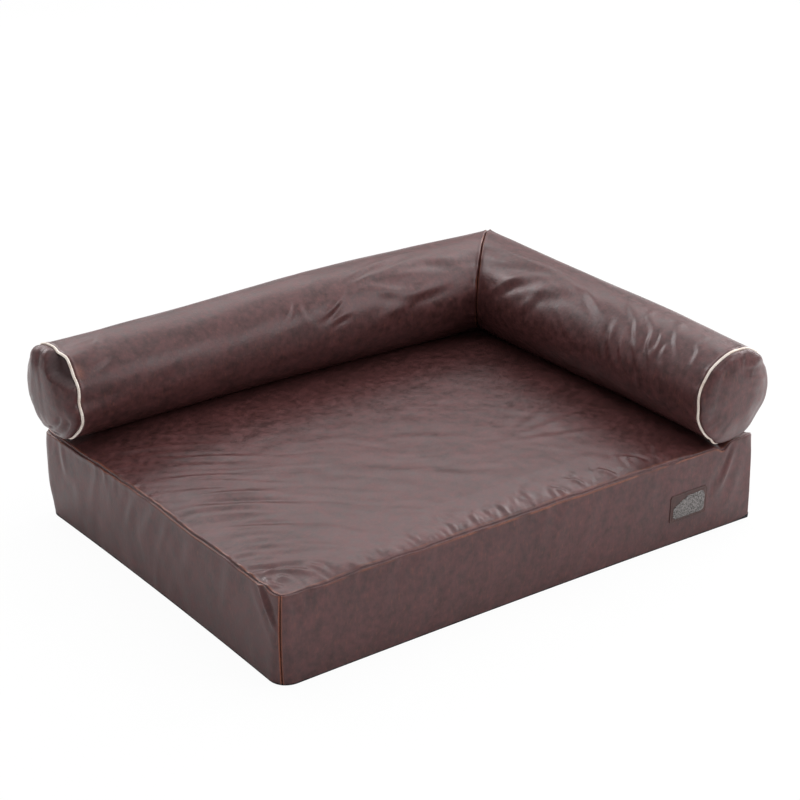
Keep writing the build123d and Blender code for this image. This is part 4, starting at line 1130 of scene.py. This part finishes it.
fibre = soft_fill("polyester_fibre", "#f4f4f2", "#dcdcda", 220.0, 1.0)
leather_step, fine_step = 9 * mm, 3 * mm
cap_count, pole_share = 10, -0.94
wrap = 8
close_lines = np.array((0, 1.0, 2.0, 3.2, 4.6, 6.4, 8.6)) * mm
cap_close_lines = [-0.055, -0.035, -0.02, -0.009, 0]
zip_place = 740 * mm
zip_flat = 14 * mm
slit_spread = 2.4 * mm
zip_far_end = bolster_zip_length + slider_length + zip_tail
for name, roll in rolls.items():
    seed = 200 if name == "back" else 300
    body_count = int(round(roll["run"] / leather_step))
    cap_axis = np.linspace(pole_share, 0, cap_count)[:-1]
    share_axis = np.concatenate([cap_axis, np.linspace(0, 1, body_count + 1)])
    turn_axis = np.arange(around_count) * 2 * math.pi / around_count
    turns, share = np.meshgrid(turn_axis, share_axis, indexing="ij")
    points, floor_height = roll_form(roll, turns, share)
    numbers = numbered(points)
    pressed = points[..., 2] < floor_height + 6 * mm
    held = np.where(np.isclose(share, 0) | (share > 1 - 1e-6) | pressed, 1.0, 0.12)
    held = np.where(share < pole_share + 0.01, 0.5, held)
    from_mitre, from_ring = (1 - share) * roll["run"], np.abs(share) * roll["run"]
    slack = 0.12 + 0.45 * bell(from_mitre, 0, 120 * mm) + 0.3 * bell(from_ring, 0, 40 * mm)
    if name == "arm":
        slack += 0.2 * bell(share, 0.35, 0.2)
    slack = np.where(share < 0, 0.4, slack)
    ripple = folds(turns * girth_radius * mm, share * roll["run"], 160 * mm, 32 * mm, 80, seed)
    points = points + (0.7 * mm * ripple * (held < 1))[..., None] * outward(points, roll)
    settled = settle(
        name + "_roll_leather", points.reshape(-1, 3), quads(np.vstack([numbers, numbers[:1]])),
        held.ravel(), np.clip(slack, 0, 1).ravel(),
    )
    points = settled.reshape(points.shape)

    # The settled skin is carried to closer lines, which gather at its seams and at the zip's slit.
    padded_turns = np.arange(-wrap, around_count + wrap) * 2 * math.pi / around_count
    padded_points = np.concatenate([points[-wrap:], points, points[:wrap]])
    new_turns = np.linspace(0, 2 * math.pi, 193)[:-1]
    close = close_lines / roll["run"]
    middle = np.linspace(close[-1], 1 - close[-1], int(roll["run"] / fine_step))
    new_body = np.concatenate([close[:-1], middle, (1 - close[:-1])[::-1]])
    new_cap = np.concatenate([np.linspace(pole_share, -0.08, 32), cap_close_lines])
    if name == "back":
        slit = [math.pi / 2 + zip_tilt + side * math.atan(zip_half_gap / facet_reach) for side in (-1, 1)]
        new_turns = with_lines(new_turns, slit, slit_spread / facet_reach)
        reach = roll["run"] + 84 * mm * math.sin(math.pi / 2 + zip_tilt)
        slit_ends = [(zip_place + zip_tail) / reach, (zip_place - zip_far_end) / reach]
        new_body = with_lines(new_body, slit_ends, slit_spread / reach)
    cap_points, body_points = padded_points[:, :cap_count], padded_points[:, cap_count - 1:]
    cap = refined(cap_points, padded_turns, share_axis[:cap_count], new_turns, new_cap)
    body = refined(body_points, padded_turns, share_axis[cap_count - 1:], new_turns, new_body)

    # Relief of the roll: folds, puckers at both seams, the zip's channel and a pocket over the strip.
    turns, share = np.meshgrid(new_turns, new_body, indexing="ij")
    girth, length = turns * girth_radius * mm, share * roll["run"]
    to_mitre, to_ring = (1 - share) * roll["run"], share * roll["run"]
    out = outward(body, roll)
    to_corner = corner_axis - body
    to_corner /= np.linalg.norm(to_corner, axis=-1, keepdims=True)
    lower = ramp(body[..., 2], 185 * mm, 12 * mm)
    relief = tucks(girth, length, roll_spots[name])
    relief += 0.35 * mm * folds(girth, length, 90 * mm, 16 * mm, 80, seed + 11)
    relief += gathers(girth, to_ring, 1.2 * mm, seed + 12) + gathers(girth, to_mitre, 1.8 * mm, seed + 13)
    if name == "back":
        zip_up = np.array((0, math.sin(zip_tilt), math.cos(zip_tilt)))
        from_zip = body - zips["bolster"][1]
        past = np.maximum(from_zip[..., 0] - zip_tail, -from_zip[..., 0] - zip_far_end)
        beside = np.maximum(np.abs(from_zip @ zip_up) - zip_half_gap, past)
        behind = (from_zip @ zip_normal) > -30 * mm
        relief = np.where(behind & (beside < zip_flat), 0, relief)
        channel = np.where(behind, np.clip(0.5 - beside / (0.6 * mm), 0, 1) * zip_channel, 0)
        lip = np.where(behind, 0.7 * mm * bell(beside, 2 * mm, 1.4 * mm), 0)
        body = body + (lip - channel)[..., None] * zip_normal
    body = body + (relief * lower)[..., None] * out
    seat_x = np.clip(body[..., 0], -base_width / 2, base_width / 2)
    seat_y = np.clip(body[..., 1], -base_depth / 2, base_depth / 2)
    under = body[..., 2] < seat_height(seat_x, seat_y) + 4 * mm
    body[..., 2] += np.where(under, strip_pocket(body, name), 0)
    body = body - (seam_sink(to_ring) * 0.8)[..., None] * out + seam_sink(to_mitre)[..., None] * to_corner
    wear_and_shade = 0.8 * wear_along(to_mitre, girth, seed + 14)
    if name == "back":
        rubbed = ((girth - 488 * mm) / (13 * mm)) ** 2 + ((length - 12 * mm) / (8 * mm)) ** 2
        wear_and_shade = np.maximum(wear_and_shade, 0.45 * np.exp(-rubbed))

    # Relief of the cap: puckers at its seam, and the hollows and folds of its own.
    turns, share = np.meshgrid(new_turns, new_cap, indexing="ij")
    cap_out = cap - roll["start"]
    cap_out -= (cap_out @ roll["along"])[..., None] * roll["along"]
    cap_out /= np.linalg.norm(cap_out, axis=-1, keepdims=True)
    rim = -share * ring_radius
    aside, up = (cap - roll["start"]) @ roll["across"], cap[..., 2] - ring_height
    cap_relief = gathers(turns * ring_radius, rim, 2.0 * mm, seed + 15) + cap_folds(name, aside, up, rim)
    cap = cap - (cap_relief * np.clip(rim / (3 * mm), 0, 1))[..., None] * roll["along"]
    cap = cap - (seam_sink(rim) * 0.8)[..., None] * cap_out
    pole = cap[:, :1].mean(0, keepdims=True) - roll["along"] * 0.3 * mm
    mouth = body[:, -1:]
    steps = np.linspace(0, 1, 7)[None, :, None]
    # Painted shade on the caps: where a cap is pushed in, its value runs below 0 with the depth, down to -1
    # at 10 mm, and the leather paints those hollows darker.
    piece = pooled_piece(name + "_roll_leather", [
        (body, wear_and_shade),
        (cap, np.clip(cap_relief / (10 * mm), -1, 0)),
        (np.concatenate([np.repeat(pole, len(cap), 0), cap[:, :1]], 1), None),
        (mouth * (1 - steps) + mouth.mean(0, keepdims=True) * steps, None),
    ], closed=True, merge=0.02 * mm)
    inner_body = body - out * 4 * mm
    inner_body[..., 2] = np.maximum(inner_body[..., 2], body[..., 2].min() + 4 * mm)
    inner_body = inner_body[::3, 2:-2:4]
    inner_cap = (cap - cap_out * 3 * mm + roll["along"] * 4 * mm)[::3, :-4:4]
    first, last = (end.mean(0, keepdims=True) for end in (inner_cap[:, :1], inner_body[:, -1:]))
    around = len(inner_cap)
    whole = [np.repeat(first, around, 0), inner_cap, inner_body, np.repeat(last, around, 0)]
    filling = pooled_piece(name + "_roll_fibre", [(np.concatenate(whole, 1), None)], closed=True)
    filling.data.materials.append(fibre)
    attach(filling, "bolster")
    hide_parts(name + "_roll_filling")
    piece.data.materials.append(brown_leather)
    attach(piece, "bolster")
    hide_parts(name + "_roll_cover", name + "_roll_cap")
    roll["ring"] = body[:, 0] + 1.6 * mm * out[:, 0]


# Piping: a pale faux leather strip folded over a cotton cord and sewn in between roll and cap. It
# stands out of the seam by its thickness and follows the seam's kinks.
piping_radius = 2.5 * mm


def tube(path, radius, sides=14):
    """Closed tube: a circle carried along a closed path, square to it."""
    ahead = np.roll(path, -1, 0) - np.roll(path, 1, 0)
    ahead /= np.linalg.norm(ahead, axis=1, keepdims=True)
    middle = path.mean(0)
    out = path - middle
    out -= (out * ahead).sum(1, keepdims=True) * ahead
    out /= np.linalg.norm(out, axis=1, keepdims=True)
    side = np.cross(ahead, out)
    turn = np.arange(sides) * 2 * math.pi / sides
    cosine, sine = np.cos(turn)[:, None], np.sin(turn)[:, None]
    return path[:, None] + radius * (out[:, None] * cosine + side[:, None] * sine)


piping, tree, output = empty_material("cream_faux_leather_piping")
place = add_node(tree, "TexCoord").outputs["Object"]
soil = add_node(tree, "TexNoise", {"Vector": place, "Scale": 60.0, "Detail": 4.0})
tone = stained(tree, soil.outputs["Fac"], (0.3, 0.6), "#d8c6b8", "#efe4da")
grain = add_node(tree, "TexNoise", {"Vector": place, "Scale": 900.0, "Detail": 2.0})
relief = add_node(tree, "Bump", {"Strength": 0.3, "Distance": 0.3 * mm, "Height": grain.outputs["Fac"]})
skin = {"Base Color": tone, "Roughness": 0.5, "Normal": relief.outputs[0]}
strip = add_node(tree, "BsdfPrincipled", skin)
tree.links.new(strip.outputs[0], output.inputs["Surface"])
cotton = soft_fill("twisted_cotton_cord", "#e9e4d6", "#cfc8b6", 900.0, 0.95)
for name, roll in rolls.items():
    for label, radius, node, finish, slot in (
        ("strip", piping_radius, "_roll_piping", piping, "pale_piping"),
        ("core", piping_radius * 0.6, "_roll_piping_cord", cotton, "piping_cord"),
    ):
        grid = tube(roll["ring"], radius)
        numbers = numbered(grid)
        looped = np.pad(numbers, ((0, 1), (0, 1)), mode="wrap")
        piece = new_piece(name + "_roll_piping_" + label, grid.reshape(-1, 3), quads(looped))
        piece.data.materials.append(finish)
        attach(piece, "bolster")
        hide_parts(name + node)
